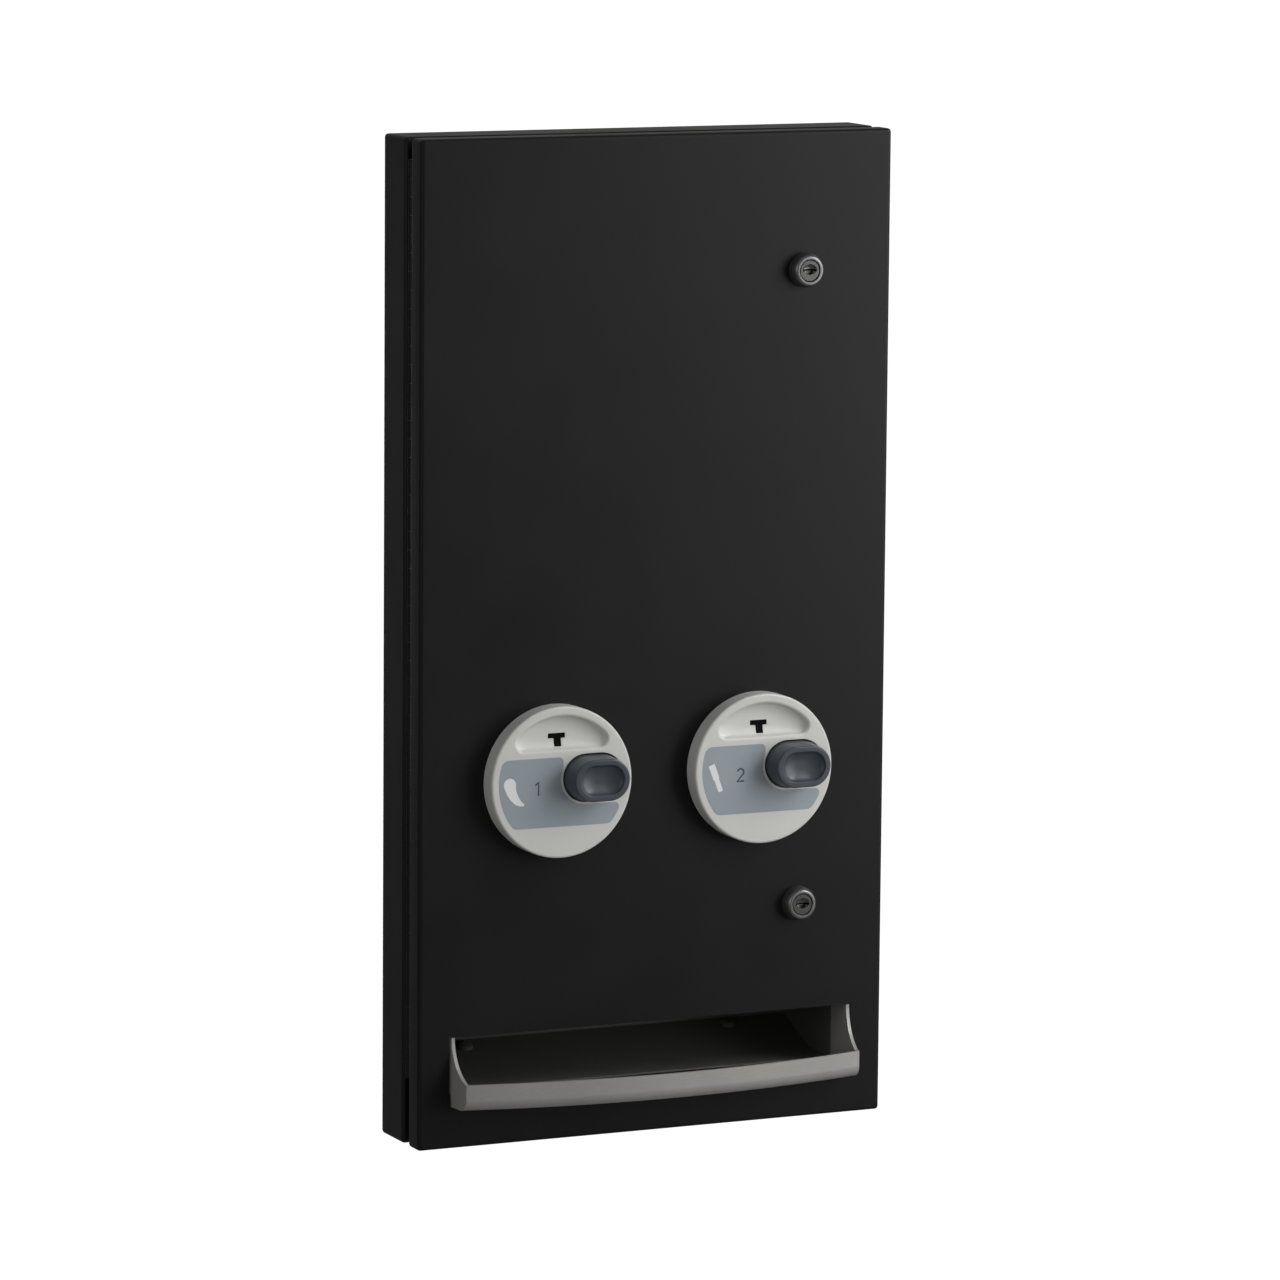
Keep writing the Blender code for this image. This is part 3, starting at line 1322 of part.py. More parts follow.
def make_ramp():
    front, bend, back = ramp_points()
    corners = [front, bend, back, (back[0], RAMP_CHEEK_TOP), (front[0], RAMP_CHEEK_TOP)]
    bm = bmesh.new()
    left = bm.faces.new([bm.verts.new((-RAMP_HALF_WIDTH, y, z)) for y, z in corners])
    grown = bmesh.ops.extrude_face_region(bm, geom=[left], use_keep_orig=True)
    verts = [item for item in grown["geom"] if isinstance(item, bmesh.types.BMVert)]
    bmesh.ops.translate(bm, verts=verts, vec=(RAMP_HALF_WIDTH * 2, 0, 0))
    bmesh.ops.recalc_face_normals(bm, faces=bm.faces)
    open_sides = faces_towards(bm, 1, -1) + faces_towards(bm, 2, 1)
    bmesh.ops.delete(bm, geom=open_sides, context="FACES")
    ramp = mesh_object("chute_ramp", bm)
    solidify(ramp, SHEET, 1)

    lean = math.radians(RAMP_ANGLE_DEGREES)
    along, normal = Vector((0, math.cos(lean), math.sin(lean))), Vector((0, -math.sin(lean), math.cos(lean)))
    back_edge = Vector((0, back[0], back[1]))
    pieces = []
    ledge_top = back_edge - normal * (SHEET + FIT_GAP + SHEET / 2)
    leg_y = TUB_BACK_Y - FIT_GAP - SHEET / 2
    knee = ledge_top + along * ((leg_y - ledge_top.y) / along.y)
    nose = knee - along * LEDGE_REACH
    path = [(nose.y, nose.z), (knee.y, knee.z), (knee.y, knee.z - LEDGE_DROP)]
    ledge = folded("ramp_ledge", path, FACING_SIDE, -LEDGE_HALF_WIDTH, LEDGE_HALF_WIDTH, SHEET)
    for word, side in (("left", -1), ("right", 1)):
        seat = back_edge - along * RAMP_SCREW_SETBACK + Vector((side * RAMP_SCREW_SPREAD, 0, 0))
        cut(ramp, screw_hole("ramp_screw_hole", seat, normal, CUT_OVERRUN))
        cut(ledge, screw_hole("ledge_screw_hole", seat, normal, CUT_OVERRUN))
        screw = pan_head(
            "ramp_screw_" + word,
            seat + normal * FIT_GAP,
            normal,
            RAMP_SCREW_LENGTH,
            RAMP_SCREW_HEAD_RADIUS,
            RAMP_SCREW_HEAD_HEIGHT,
        )
        pieces.append(in_parts(screw, LOCK_METAL))
    pieces.append(in_parts(ramp, RAMP_PAINT))
    pieces.append(in_parts(ledge, ZINC_STEEL))
    return pieces


def make_magazine(name, x, width):
    half_sheet = SHEET / 2
    wall = width / 2 + half_sheet
    path = [
        (x - wall + MAGAZINE_LIP, MAGAZINE_FRONT_Y + half_sheet),
        (x - wall, MAGAZINE_FRONT_Y + half_sheet),
        (x - wall, MAGAZINE_BACK_Y),
        (x + wall, MAGAZINE_BACK_Y),
        (x + wall, MAGAZINE_FRONT_Y + half_sheet),
        (x + wall - MAGAZINE_LIP, MAGAZINE_FRONT_Y + half_sheet),
    ]
    magazine = folded(name + "_magazine", path, FACING_UP, MAGAZINE_BOTTOM, MAGAZINE_TOP, SHEET)
    ear = [
        (GATE_Y - EAR_NOSE, GATE_HEIGHT - EAR_HALF_HEIGHT),
        (MAGAZINE_FRONT_Y + EAR_NOSE, GATE_HEIGHT - EAR_HALF_HEIGHT),
        (MAGAZINE_FRONT_Y + EAR_NOSE, GATE_HEIGHT + EAR_HALF_HEIGHT),
        (GATE_Y - EAR_NOSE, GATE_HEIGHT + EAR_HALF_HEIGHT),
    ]
    ear = fillet(ear, EAR_NOSE / 2, 2)
    pin_half = wall + EAR_THICKNESS + GATE_PIN_OVERHANG
    for side in (-1, 1):
        join(magazine, plate("ear", [ear], FACING_SIDE, x + side * wall, x + side * (wall + EAR_THICKNESS)))
    relief = width / 2 + FIT_GAP
    cut(
        magazine,
        box(
            "shelf_relief",
            (x - relief, MAGAZINE_FRONT_Y - CUT_OVERRUN, MAGAZINE_BOTTOM - CUT_OVERRUN),
            (x + relief, MAGAZINE_FRONT_Y + SHEET + FIT_GAP, GATE_HEIGHT - GATE_DROP + SHELF_RELIEF),
        ),
        rod(
            "gate_pin_hole",
            GATE_PIN_RADIUS + HOLE_PLAY,
            (x - pin_half - CUT_OVERRUN, GATE_Y, GATE_HEIGHT),
            (x + pin_half + CUT_OVERRUN, GATE_Y, GATE_HEIGHT),
            GATE_BOSS_SIDES,
        ),
    )
    pin = rod(
        name + "_gate_pin",
        GATE_PIN_RADIUS,
        (x - pin_half, GATE_Y, GATE_HEIGHT),
        (x + pin_half, GATE_Y, GATE_HEIGHT),
        GATE_BOSS_SIDES,
    )
    pieces = [in_parts(magazine, STOCK_STEEL), in_parts(smooth(pin), ZINC_STEEL)]
    seat_y = MAGAZINE_BACK_Y - half_sheet - FIT_GAP
    for word, height in (("lower", MAGAZINE_SCREW_BOTTOM), ("upper", MAGAZINE_SCREW_TOP)):
        cut(magazine, screw_hole("magazine_screw_hole", (x, MAGAZINE_BACK_Y, height), (0, 1, 0), CUT_OVERRUN))
        screw = pan_head(
            f"{name}_magazine_screw_{word}",
            (x, seat_y, height),
            (0, -1, 0),
            MAGAZINE_SCREW_LENGTH,
            SCREW_HEAD_RADIUS,
            SCREW_HEAD_HEIGHT,
        )
        pieces.append(in_parts(screw, ZINC_STEEL))
    return pieces


def make_gate(name, x, width, arm_x):
    """A shelf under the stock column, hung on its pin, with an arm that the plunger pushes."""
    half = width / 2 - GATE_SIDE_GAP
    gate = rod(
        name + "_gate",
        GATE_BOSS_RADIUS,
        (x - half, GATE_Y, GATE_HEIGHT),
        (x + half, GATE_Y, GATE_HEIGHT),
        GATE_BOSS_SIDES,
    )
    shelf_z = GATE_HEIGHT - GATE_DROP
    shelf = [
        (GATE_Y, GATE_HEIGHT - GATE_ROOT),
        (GATE_Y + GATE_SHELF_START, shelf_z),
        (GATE_Y + GATE_SHELF_END, shelf_z),
    ]
    arm_y = GATE_Y - GATE_ARM_FORWARD + GATE_SHEET / 2
    arm = [
        (GATE_Y, GATE_HEIGHT + GATE_ROOT),
        (arm_y, GATE_HEIGHT + GATE_ARM_KNEE),
        (arm_y, GATE_HEIGHT + GATE_ARM_TOP),
    ]
    arm_half = GATE_ARM_WIDTH / 2
    shelf_half = half - UNION_LAP
    join(
        gate,
        folded("gate_shelf", shelf, FACING_SIDE, x - shelf_half, x + shelf_half, GATE_SHEET),
        folded("gate_arm", arm, FACING_SIDE, arm_x - arm_half, arm_x + arm_half, GATE_SHEET),
    )
    cut(
        gate,
        rod(
            "gate_bore",
            GATE_PIN_RADIUS + HOLE_PLAY,
            (x - half - CUT_OVERRUN, GATE_Y, GATE_HEIGHT),
            (x + half + CUT_OVERRUN, GATE_Y, GATE_HEIGHT),
            GATE_BOSS_SIDES,
        ),
    )
    return in_parts(gate, STOCK_STEEL)


def main():
    clear_scene()
    cabinet = carrier("cabinet_carrier", (0, 0, 0))
    hinge_axis = carrier("door_hinge_axis", (HINGE_X, HINGE_Y, 0), cabinet)

    frame_leaf, door_leaf, pin = make_hinge()
    carry(cabinet, make_tub(), make_collar(), frame_leaf, pin)
    carry(hinge_axis, make_door(), door_leaf)

    for name, x in dials():
        carry(hinge_axis, *make_dial(name, x))
        carry(hinge_axis, *make_bracket(name, x))
        carry(hinge_axis, make_spring(name, x))
        push_axis = carrier(name + "_push_axis", (x + BUTTON_OFFSET_X, DIAL_FACE_Y, BUTTON_Z), hinge_axis)
        carry(push_axis, *make_button(name, x))

    for name, height in locks():
        fixed, turning = make_lock(name, height)
        carry(hinge_axis, *fixed)
        lock_axis = carrier(name + "_lock_axis", (LOCK_OFFSET_X, DOOR_FRONT_Y, height), hinge_axis)
        carry(lock_axis, *turning)
        carry(cabinet, make_strike(name, height))

    carry(hinge_axis, *make_tray())
    carry(cabinet, *make_ramp())

    button_places = dict(dials())
    for name, x, width in magazines():
        carry(cabinet, *make_magazine(name, x, width))
        gate_axis = carrier(name + "_gate_axis", (x, GATE_Y, GATE_HEIGHT), cabinet)
        arm_x = button_places[name] + BUTTON_OFFSET_X
        carry(gate_axis, make_gate(name, x, width, arm_x))
    bpy.context.view_layer.update()


main()
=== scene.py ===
"""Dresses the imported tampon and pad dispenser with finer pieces, finishes, a studio and a camera.

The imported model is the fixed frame. Lengths are in metres: X runs to the right, Y into the wall and Z up.
Places are read from the frame's own nodes, and each sub-assembly keeps its finer sizes as fields.
"""

from __future__ import annotations

import json
import logging
import math
from collections.abc import Callable, Iterable, Sequence
from dataclasses import dataclass
from enum import Enum

import bmesh
import bpy
from mathutils import Matrix, Vector

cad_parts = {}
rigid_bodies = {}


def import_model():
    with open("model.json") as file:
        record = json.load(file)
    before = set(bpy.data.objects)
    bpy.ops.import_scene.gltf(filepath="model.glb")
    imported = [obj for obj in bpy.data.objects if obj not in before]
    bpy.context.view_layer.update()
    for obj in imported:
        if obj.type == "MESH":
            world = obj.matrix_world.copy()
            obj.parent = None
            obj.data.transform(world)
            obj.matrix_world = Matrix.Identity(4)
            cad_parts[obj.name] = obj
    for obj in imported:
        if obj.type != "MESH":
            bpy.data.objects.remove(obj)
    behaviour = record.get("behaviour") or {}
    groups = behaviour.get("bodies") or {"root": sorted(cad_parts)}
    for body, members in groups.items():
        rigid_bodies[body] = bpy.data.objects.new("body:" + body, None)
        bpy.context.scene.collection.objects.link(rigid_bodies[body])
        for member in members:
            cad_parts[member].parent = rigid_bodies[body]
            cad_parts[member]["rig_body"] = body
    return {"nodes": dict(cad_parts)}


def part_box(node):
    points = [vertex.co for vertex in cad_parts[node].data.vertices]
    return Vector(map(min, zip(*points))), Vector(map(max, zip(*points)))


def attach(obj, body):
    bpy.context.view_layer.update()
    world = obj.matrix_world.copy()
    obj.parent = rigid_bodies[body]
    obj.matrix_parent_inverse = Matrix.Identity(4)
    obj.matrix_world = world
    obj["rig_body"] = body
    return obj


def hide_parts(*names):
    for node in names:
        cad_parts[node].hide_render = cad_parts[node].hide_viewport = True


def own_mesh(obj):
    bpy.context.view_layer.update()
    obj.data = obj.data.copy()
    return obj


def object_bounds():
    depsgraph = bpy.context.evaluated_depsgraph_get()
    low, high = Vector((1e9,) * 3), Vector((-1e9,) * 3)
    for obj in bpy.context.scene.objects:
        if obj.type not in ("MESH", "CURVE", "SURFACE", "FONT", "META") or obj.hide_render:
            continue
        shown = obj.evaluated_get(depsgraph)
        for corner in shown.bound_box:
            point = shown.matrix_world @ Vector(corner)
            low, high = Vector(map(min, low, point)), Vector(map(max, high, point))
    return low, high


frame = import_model()
cad_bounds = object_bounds()

LOG = logging.getLogger("dispenser")
MILLIMETRE = 0.001
CUT_OVERRUN = 4 * MILLIMETRE
WELD_DISTANCE = 0.001 * MILLIMETRE
FIT_GAP = 0.3 * MILLIMETRE
LEAST_BEND = 0.05
LEAST_SPREAD = 0.01
FLAT_ANGLE = 0.5
NUT_SIDES = 6
RIGHTWARD, REARWARD, UPWARD = Vector((1, 0, 0)), Vector((0, 1, 0)), Vector((0, 0, 1))

Point = tuple[float, float]
Triple = tuple[float, float, float]
Colour = tuple[float, float, float, float]
Piece = bpy.types.Object
Skin = bmesh.types.BMesh
Link = bpy.types.NodeSocket
Results = dict[str, Link]


class Slot(Enum):
    """The record's material slots."""

    BLACK_PAINT = "black_paint"
    # The ramp's finish is its paint darkened with painted shade, for the shade deep inside the tray.
    RAMP_PAINT_AND_SHADE = "ramp_paint"
    DIAL_PLASTIC = "dial_plastic"
    LABEL_FILM = "label_film"
    SYMBOL_FILM = "symbol_film"
    BUTTON_PLASTIC = "button_plastic"
    BLANK_PLASTIC = "blank_plastic"
    TRAY_SILVER = "tray_silver"
    ZINC_STEEL = "zinc_steel"
    SPRING_STEEL = "spring_steel"
    LOCK_METAL = "lock_metal"
    STOCK_STEEL = "stock_steel"


class Facing(Enum):
    """The way that a flat outline faces: its own X, Y and Z in world axes."""

    FRONT = ((1, 0, 0), (0, 0, -1), (0, 1, 0))
    UP = ((1, 0, 0), (0, 1, 0), (0, 0, 1))

    @property
    def turn(self) -> Matrix:
        """The rotation that turns a flat outline to face its way."""
        return Matrix(self.value)

    @property
    def axis(self) -> Vector:
        """The world axis that the outline is run along, always towards its positive end."""
        return REARWARD if self is Facing.FRONT else UPWARD


class Fusing(Enum):
    """What a boolean step does with the piece and its tool."""

    CUT = "DIFFERENCE"
    JOIN = "UNION"
    MEET = "INTERSECT"


def arc(centre: Point, radius: float, start: float, end: float, steps: int) -> list[Point]:
    """Points along a circle, both ends included.

    Args:
        centre: The circle's centre.
        radius: The circle's radius.
        start: The first point's angle in degrees.
        end: The last point's angle in degrees.
        steps: How many steps lie between the two.

    Returns:
        The points in order.
    """
    angles = [math.radians(start + (end - start) * step / steps) for step in range(steps + 1)]
    return [(centre[0] + radius * math.cos(a), centre[1] + radius * math.sin(a)) for a in angles]


def circle(centre: Point, radius: float, sides: int, start: float = 0.0) -> list[Point]:
    """A closed circle of so many sides, without a repeated point."""
    return arc(centre, radius, start, start + 360, sides)[:-1]


def quarter(steps: int) -> list[Point]:
    """The cosines and sines of evenly spaced angles from 0 to 90 degrees, both ends included."""
    angles = [math.radians(90) * step / steps for step in range(steps + 1)]
    return [(math.cos(angle), math.sin(angle)) for angle in angles]


def obround(centre: Point, half_width: float, half_height: float, steps: int) -> list[Point]:
    """A slot shape that is longer along its first axis, with so many steps in each round end."""
    reach = half_width - half_height
    right = arc((centre[0] + reach, centre[1]), half_height, -90, 90, steps)
    left = arc((centre[0] - reach, centre[1]), half_height, 90, 270, steps)
    return right + left


def fillet(points: Sequence[Point], radius: float, steps: int, sharpest: float = 35.0) -> list[Point]:
    """Rounds the sharp corners of a closed outline, also where its sides are made of short steps.

    Args:
        points: The outline.
        radius: The radius of each rounded corner.
        steps: The steps in each rounded corner.
        sharpest: Corners that turn by fewer degrees than this stay as they are.

    Returns:
        The outline with its rounded corners.
    """
    spots = [Vector(point) for point in points]
    count = len(spots)
    passed: set[int] = set()
    corners: dict[int, list[Point]] = {}
    for index, corner in enumerate(spots):
        turn = (corner - spots[index - 1]).angle(spots[(index + 1) % count] - corner)
        if turn < math.radians(sharpest):
            continue
        ends = []
        for way in (-1, 1):
            left, here = radius * math.tan(turn / 2), index
            ahead = (here + way) % count
            while (spots[ahead] - spots[here]).length <= left:
                left -= (spots[ahead] - spots[here]).length
                passed.add(ahead)
                here, ahead = ahead, (ahead + way) % count
            ends.append(spots[here] + (spots[ahead] - spots[here]).normalized() * left)
        corners[index] = []
        for step in range(steps + 1):
            t = step / steps
            shares = ((1 - t) ** 2, 2 * t * (1 - t) * math.cos(turn / 2), t**2)
            spot = ends[0] * shares[0] + corner * shares[1] + ends[1] * shares[2]
            corners[index].append(tuple(spot / sum(shares)))
    rounded: list[Point] = []
    for index, point in enumerate(points):
        if index in corners:
            rounded += corners[index]
        elif index not in passed:
            rounded.append(point)
    return rounded


def stroke(path: Sequence[Point], width: float, longest_mitre: float = 1.6) -> list[Point]:
    """The outline of a line of constant width along a path.

    Args:
        path: The line's middle, point by point.
        width: The line's width.
        longest_mitre: The most that a corner may reach out, as a share of half the width.

    Returns:
        The closed outline.
    """
    near: list[Vector] = []
    far: list[Vector] = []
    spine = [Vector(point) for point in path]
    for index, here in enumerate(spine):
        before = (here - spine[index - 1]).normalized() if index else None
        after = (spine[index + 1] - here).normalized() if index + 1 < len(spine) else None
        along = ((before or after) + (after or before)).normalized()
        across = Vector((-along.y, along.x))
        side = before or after
        spread = abs(across.dot(Vector((-side.y, side.x))))
        reach = width / 2 * min(longest_mitre, 1 / max(spread, LEAST_SPREAD))
        near.append(here + across * reach)
        far.append(here - across * reach)
    return [tuple(point) for point in near + far[::-1]]


def loft(
    rings: Sequence[Sequence[Vector]], first_cap: bool = True, last_cap: bool = True, closed: bool = False
) -> Skin:
    """A skin through rings of as many points each.

    Args:
        rings: The rings in order.
        first_cap: Whether a face closes the first ring.
        last_cap: Whether a face closes the last ring.
        closed: Whether the last ring joins the first again, which needs no caps.

    Returns:
        The skin with its faces turned outwards.
    """
    bm = bmesh.new()
    rows = [[bm.verts.new(point) for point in ring] for ring in rings]
    pairs = list(zip(rows, rows[1:]))
    if closed:
        pairs.append((rows[-1], rows[0]))
    for near, far in pairs:
        for index in range(len(near)):
            after = (index + 1) % len(near)
            bm.faces.new((near[index], near[after], far[after], far[index]))
    if first_cap and not closed:
        bm.faces.new(rows[0])
    if last_cap and not closed:
        bm.faces.new(rows[-1])
    bmesh.ops.remove_doubles(bm, verts=bm.verts, dist=WELD_DISTANCE)
    return turned_outwards(bm)


def turned_outwards(bm: Skin) -> Skin:
    """The same closed mesh with its faces looking outwards."""
    bmesh.ops.recalc_face_normals(bm, faces=bm.faces)
    if bm.calc_volume(signed=True) < 0:
        bmesh.ops.reverse_faces(bm, faces=bm.faces)
    return bm


def at_depth(outline: Sequence[Point], depth: float) -> list[Vector]:
    """An outline drawn on the door's face, set at its depth along Y."""
    return [Vector((u, depth, v)) for u, v in outline]


def spun(profile: Sequence[Point], centre: Vector, axis: Vector, sides: int, closed: bool = False) -> Skin:
    """A profile of radius and height turned about an axis.

    Args:
        profile: Pairs of radius and height, from one end of the outer side to the other.
        centre: The point on the axis where the height is zero.
        axis: The direction in which the height grows.
        sides: The sides of each round.
        closed: Whether the profile is a closed ring round the axis.

    Returns:
        The turned solid.
    """
    turn = Vector(axis).to_track_quat("Z", "Y").to_matrix()
    rings = []
    for radius, height in profile:
        rings.append([centre + turn @ Vector((u, v, height)) for u, v in circle((0, 0), radius, sides)])
    return loft(rings, profile[0][0] > 0, profile[-1][0] > 0, closed)


def bends(outline: Sequence[Point]) -> list[Point]:
    """The outline without the points that lie straight between their neighbours."""
    spots = [Vector(point) for point in outline]
    kept = []
    for index, spot in enumerate(spots):
        ahead = spots[(index + 1) % len(spots)] - spot
        if (spot - spots[index - 1]).angle(ahead) > math.radians(LEAST_BEND):
            kept.append(outline[index])
    return kept


def plate(outlines: Sequence[Sequence[Point]], facing: Facing, start: float, end: float) -> Skin:
    """A flat outline with any holes in it, run along the axis that it faces.

    Args:
        outlines: The outer outline and the holes.
        facing: The way that the outline faces.
        start: Where the plate starts along its axis.
        end: Where it ends.

    Returns:
        The plate.
    """
    curve = bpy.data.curves.new("outline", "CURVE")
    curve.dimensions = "2D"
    curve.fill_mode = "BOTH"
    curve.extrude = abs(end - start) / 2
    for outline in map(bends, outlines):
        spline = curve.splines.new("POLY")
        spline.points.add(len(outline) - 1)
        for point, (across, up) in zip(spline.points, outline):
            point.co = (across, up, 0, 1)
        spline.use_cyclic_u = True
    guide = bpy.data.objects.new("outline", curve)
    bpy.context.scene.collection.objects.link(guide)
    graph = bpy.context.evaluated_depsgraph_get()
    mesh = bpy.data.meshes.new_from_object(guide.evaluated_get(graph))
    bpy.data.objects.remove(guide, do_unlink=True)
    bpy.data.curves.remove(curve)
    bm = bmesh.new()
    bm.from_mesh(mesh)
    bpy.data.meshes.remove(mesh)
    bmesh.ops.remove_doubles(bm, verts=bm.verts, dist=WELD_DISTANCE)
    bm.transform(Matrix.Translation(facing.axis * (start + end) / 2) @ facing.turn.to_4x4())
    return turned_outwards(bm)


def tube(path: Sequence[Vector], radius: float, sides: int) -> Skin:
    """A round wire along a path, with flat ends.

    Args:
        path: The wire's middle, close enough together to look smooth.
        radius: The wire's radius.
        sides: The sides of the wire.

    Returns:
        The wire.
    """
    rings = []
    side = None
    for index, here in enumerate(path):
        along = (path[min(index + 1, len(path) - 1)] - path[max(index - 1, 0)]).normalized()
        side = along.orthogonal() if side is None else side - along * side.dot(along)
        side.normalize()
        other = along.cross(side)
        rings.append([here + side * u + other * v for u, v in circle((0, 0), radius, sides)])
    return loft(rings)


def solid(bm: Skin, name: str = "tool") -> Piece:
    """An object in the scene that holds the finished mesh."""
    mesh = bpy.data.meshes.new(name)
    bm.to_mesh(mesh)
    bm.free()
    obj = bpy.data.objects.new(name, mesh)
    bpy.context.scene.collection.objects.link(obj)
    return obj


def as_tool(obj: Piece) -> Skin:
    """The mesh of a piece that only served to shape a tool. The piece itself goes."""
    bm = bmesh.new()
    bm.from_mesh(obj.data)
    bpy.data.objects.remove(obj, do_unlink=True)
    return bm


def settled(obj: Piece) -> Piece:
    """The same object with what its modifiers make kept in its mesh."""
    graph = bpy.context.evaluated_depsgraph_get()
    mesh = bpy.data.meshes.new_from_object(obj.evaluated_get(graph))
    old = obj.data
    obj.modifiers.clear()
    obj.data = mesh
    bpy.data.meshes.remove(old)
    return obj


def fused(obj: Piece, how: Fusing, tools: Iterable[Skin]) -> Piece:
    """Cuts, joins or meets the piece with each tool in turn.

    Args:
        obj: The piece.
        how: What each step does.
        tools: The finished tool meshes, which are used up.

    Returns:
        The piece with its new mesh.
    """
    for tool_mesh in tools:
        tool = solid(tool_mesh)
        step = obj.modifiers.new("step", "BOOLEAN")
        step.operation = how.value
        step.solver = "EXACT"
        step.object = tool
        settled(obj)
        bpy.data.objects.remove(tool, do_unlink=True)
    return obj


def softened(obj: Piece, width: float, steps: int = 2, sharpest: float = 35.0) -> Piece:
    """Rounds the piece's edges a little, so that they catch the light.

    Args:
        obj: The piece.
        width: The width of each rounded edge.
        steps: The steps in it.
        sharpest: Edges that turn by fewer degrees than this stay as they are.

    Returns:
        The piece with its new mesh.
    """
    edge = obj.modifiers.new("edge", "BEVEL")
    edge.width = width
    edge.segments = steps
    edge.limit_method = "ANGLE"
    edge.angle_limit = math.radians(sharpest)
    edge.use_clamp_overlap = True
    return settled(obj)


def shaded(obj: Piece, sharpest: float) -> Piece:
    """Smooth shading up to an angle, with broad faces kept flat by weighted normals."""
    obj.data.shade_smooth()
    obj.data.set_sharp_from_angle(angle=math.radians(sharpest))
    weighting = obj.modifiers.new("weighting", "WEIGHTED_NORMAL")
    weighting.keep_sharp = True
    weighting.weight = 100
    return settled(obj)


def copied(node: str) -> Piece:
    """A piece that starts as a node's own shape, with its flat faces whole again."""
    bm = bmesh.new()
    bm.from_mesh(frame["nodes"][node].data)
    bmesh.ops.remove_doubles(bm, verts=bm.verts, dist=WELD_DISTANCE)
    bmesh.ops.dissolve_limit(bm, angle_limit=math.radians(FLAT_ANGLE), verts=bm.verts, edges=bm.edges)
    return solid(turned_outwards(bm))


@dataclass(frozen=True)
class Box:
    """A node's place at rest."""

    low: Vector
    high: Vector

    @classmethod
    def of(cls, node: str) -> Box:
        """The place of a node of the frame."""
        low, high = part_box(node)
        return cls(Vector(low), Vector(high))

    @property
    def centre(self) -> Vector:
        """The middle of the box."""
        return (self.low + self.high) / 2

    @property
    def size(self) -> Vector:
        """The box's lengths along X, Y and Z."""
        return self.high - self.low


def rod(
    start: Vector, axis: Vector, length: float, radius: float, chamfer: float, sides: int, both: bool = True
) -> Piece:
    """A round bar with chamfered ends.

    Args:
        start: The middle of its first end.
        axis: The direction that it runs in.
        length: Its length.
        radius: Its radius.
        chamfer: The width of the chamfers.
        sides: The sides of its round.
        both: Whether its first end is chamfered too.

    Returns:
        The bar.
    """
    profile = [(radius - chamfer, 0), (radius, chamfer)] if both else [(radius, 0)]
    profile += [(radius, length - chamfer), (radius - chamfer, length)]
    return solid(spun(profile, start, axis, sides))


def washer(node: str, sides: int, bore: float, bore_sides: int, edge: float) -> Piece:
    """A nut or a flat ring in a node's place.

    Args:
        node: The node that it stands for.
        sides: The sides of its outer outline, 6 for a nut.
        bore: The radius of its hole.
        bore_sides: The sides of its hole.
        edge: The width of its softened edges.

    Returns:
        The nut or ring.
    """
    box = Box.of(node)
    place = (box.centre.x, box.centre.z)
    outlines = [circle(place, box.size.x / 2, sides), circle(place, bore, bore_sides)]
    return softened(solid(plate(outlines, Facing.FRONT, box.low.y, box.high.y)), edge)


@dataclass(frozen=True)
class Hollow:
    """A smooth hollow with a rounded rim."""

    rounding: float
    depth: float
    bottom_shares: Point
    rim_steps: int
    bowl_steps: int

    def rings(
        self, outline: Callable[[float], list[Point]], middle: Point, front: float
    ) -> list[list[Vector]]:
        """The hollow's sections from its rim to its bottom.

        Args:
            outline: Gives the outline for how far it lies outside the hollow's own edge.
            middle: Where the hollow is deepest.
            front: The depth of the face that it goes into.

        Returns:
            The sections in order.
        """
        rings = []
        for cosine, sine in quarter(self.rim_steps):
            section = outline(self.rounding * (1 - sine))
            rings.append(at_depth(section, front + self.rounding * (1 - cosine)))
        edge = outline(0)
        for cosine, sine in quarter(self.bowl_steps)[1:]:
            across, up = (share + (1 - share) * cosine for share in self.bottom_shares)
            section = [
                (middle[0] + (u - middle[0]) * across, middle[1] + (v - middle[1]) * up) for u, v in edge
            ]
            rings.append(at_depth(section, front + self.rounding + (self.depth - self.rounding) * sine))
        return rings


class Graph:
    """Adds nodes to one node tree and links them."""

    def __init__(self, tree: bpy.types.NodeTree) -> None:
        """Keeps the tree that the nodes go into."""
        self.tree = tree

    def add(self, kind: str, inputs: dict | None = None, **settings: object) -> bpy.types.Node:
        """Adds a node.

        Args:
            kind: The node's type name.
            inputs: Values or sockets for its inputs, by name or number.
            settings: The node's own settings.

        Returns:
            The node.
        """
        node = self.tree.nodes.new(kind)
        for name, value in settings.items():
            setattr(node, name, value)
        for key, value in (inputs or {}).items():
            if isinstance(value, Link):
                self.tree.links.new(value, node.inputs[key])
            else:
                node.inputs[key].default_value = value
        return node

    def math(self, operation: str, first: object, second: object = 0.0, clamp: bool = False) -> Link:
        """The result of one arithmetic step on two values or sockets."""
        inputs = {0: first, 1: second}
        return self.add("ShaderNodeMath", inputs, operation=operation, use_clamp=clamp).outputs[0]

    def spread(
        self, value: Link, low: object, high: object, start: float = 0.0, end: float = 1.0
    ) -> Link:
        """A value between start and end, spread from low to high."""
        inputs = {0: value, 1: start, 2: end, 3: low, 4: high}
        return self.add("ShaderNodeMapRange", inputs).outputs[0]

    def noise(
        self, place: Link, scale: object, detail: float, roughness: float = 0.5, distortion: float = 0.0
    ) -> Link:
        """The height of a cloudy noise."""
        inputs = {"Vector": place, "Scale": scale, "Detail": detail, "Roughness": roughness}
        return self.add("ShaderNodeTexNoise", inputs | {"Distortion": distortion}).outputs[0]

    def blend(self, share: object, first: object, second: object) -> Link:
        """A colour between two others."""
        return self.add("ShaderNodeMix", {0: share, 6: first, 7: second}, data_type="RGBA").outputs[2]

    def group(self, tree: bpy.types.NodeTree, inputs: dict) -> bpy.types.Node:
        """A node that uses a shared effect with its own values."""
        return self.add("ShaderNodeGroup", inputs, node_tree=tree)


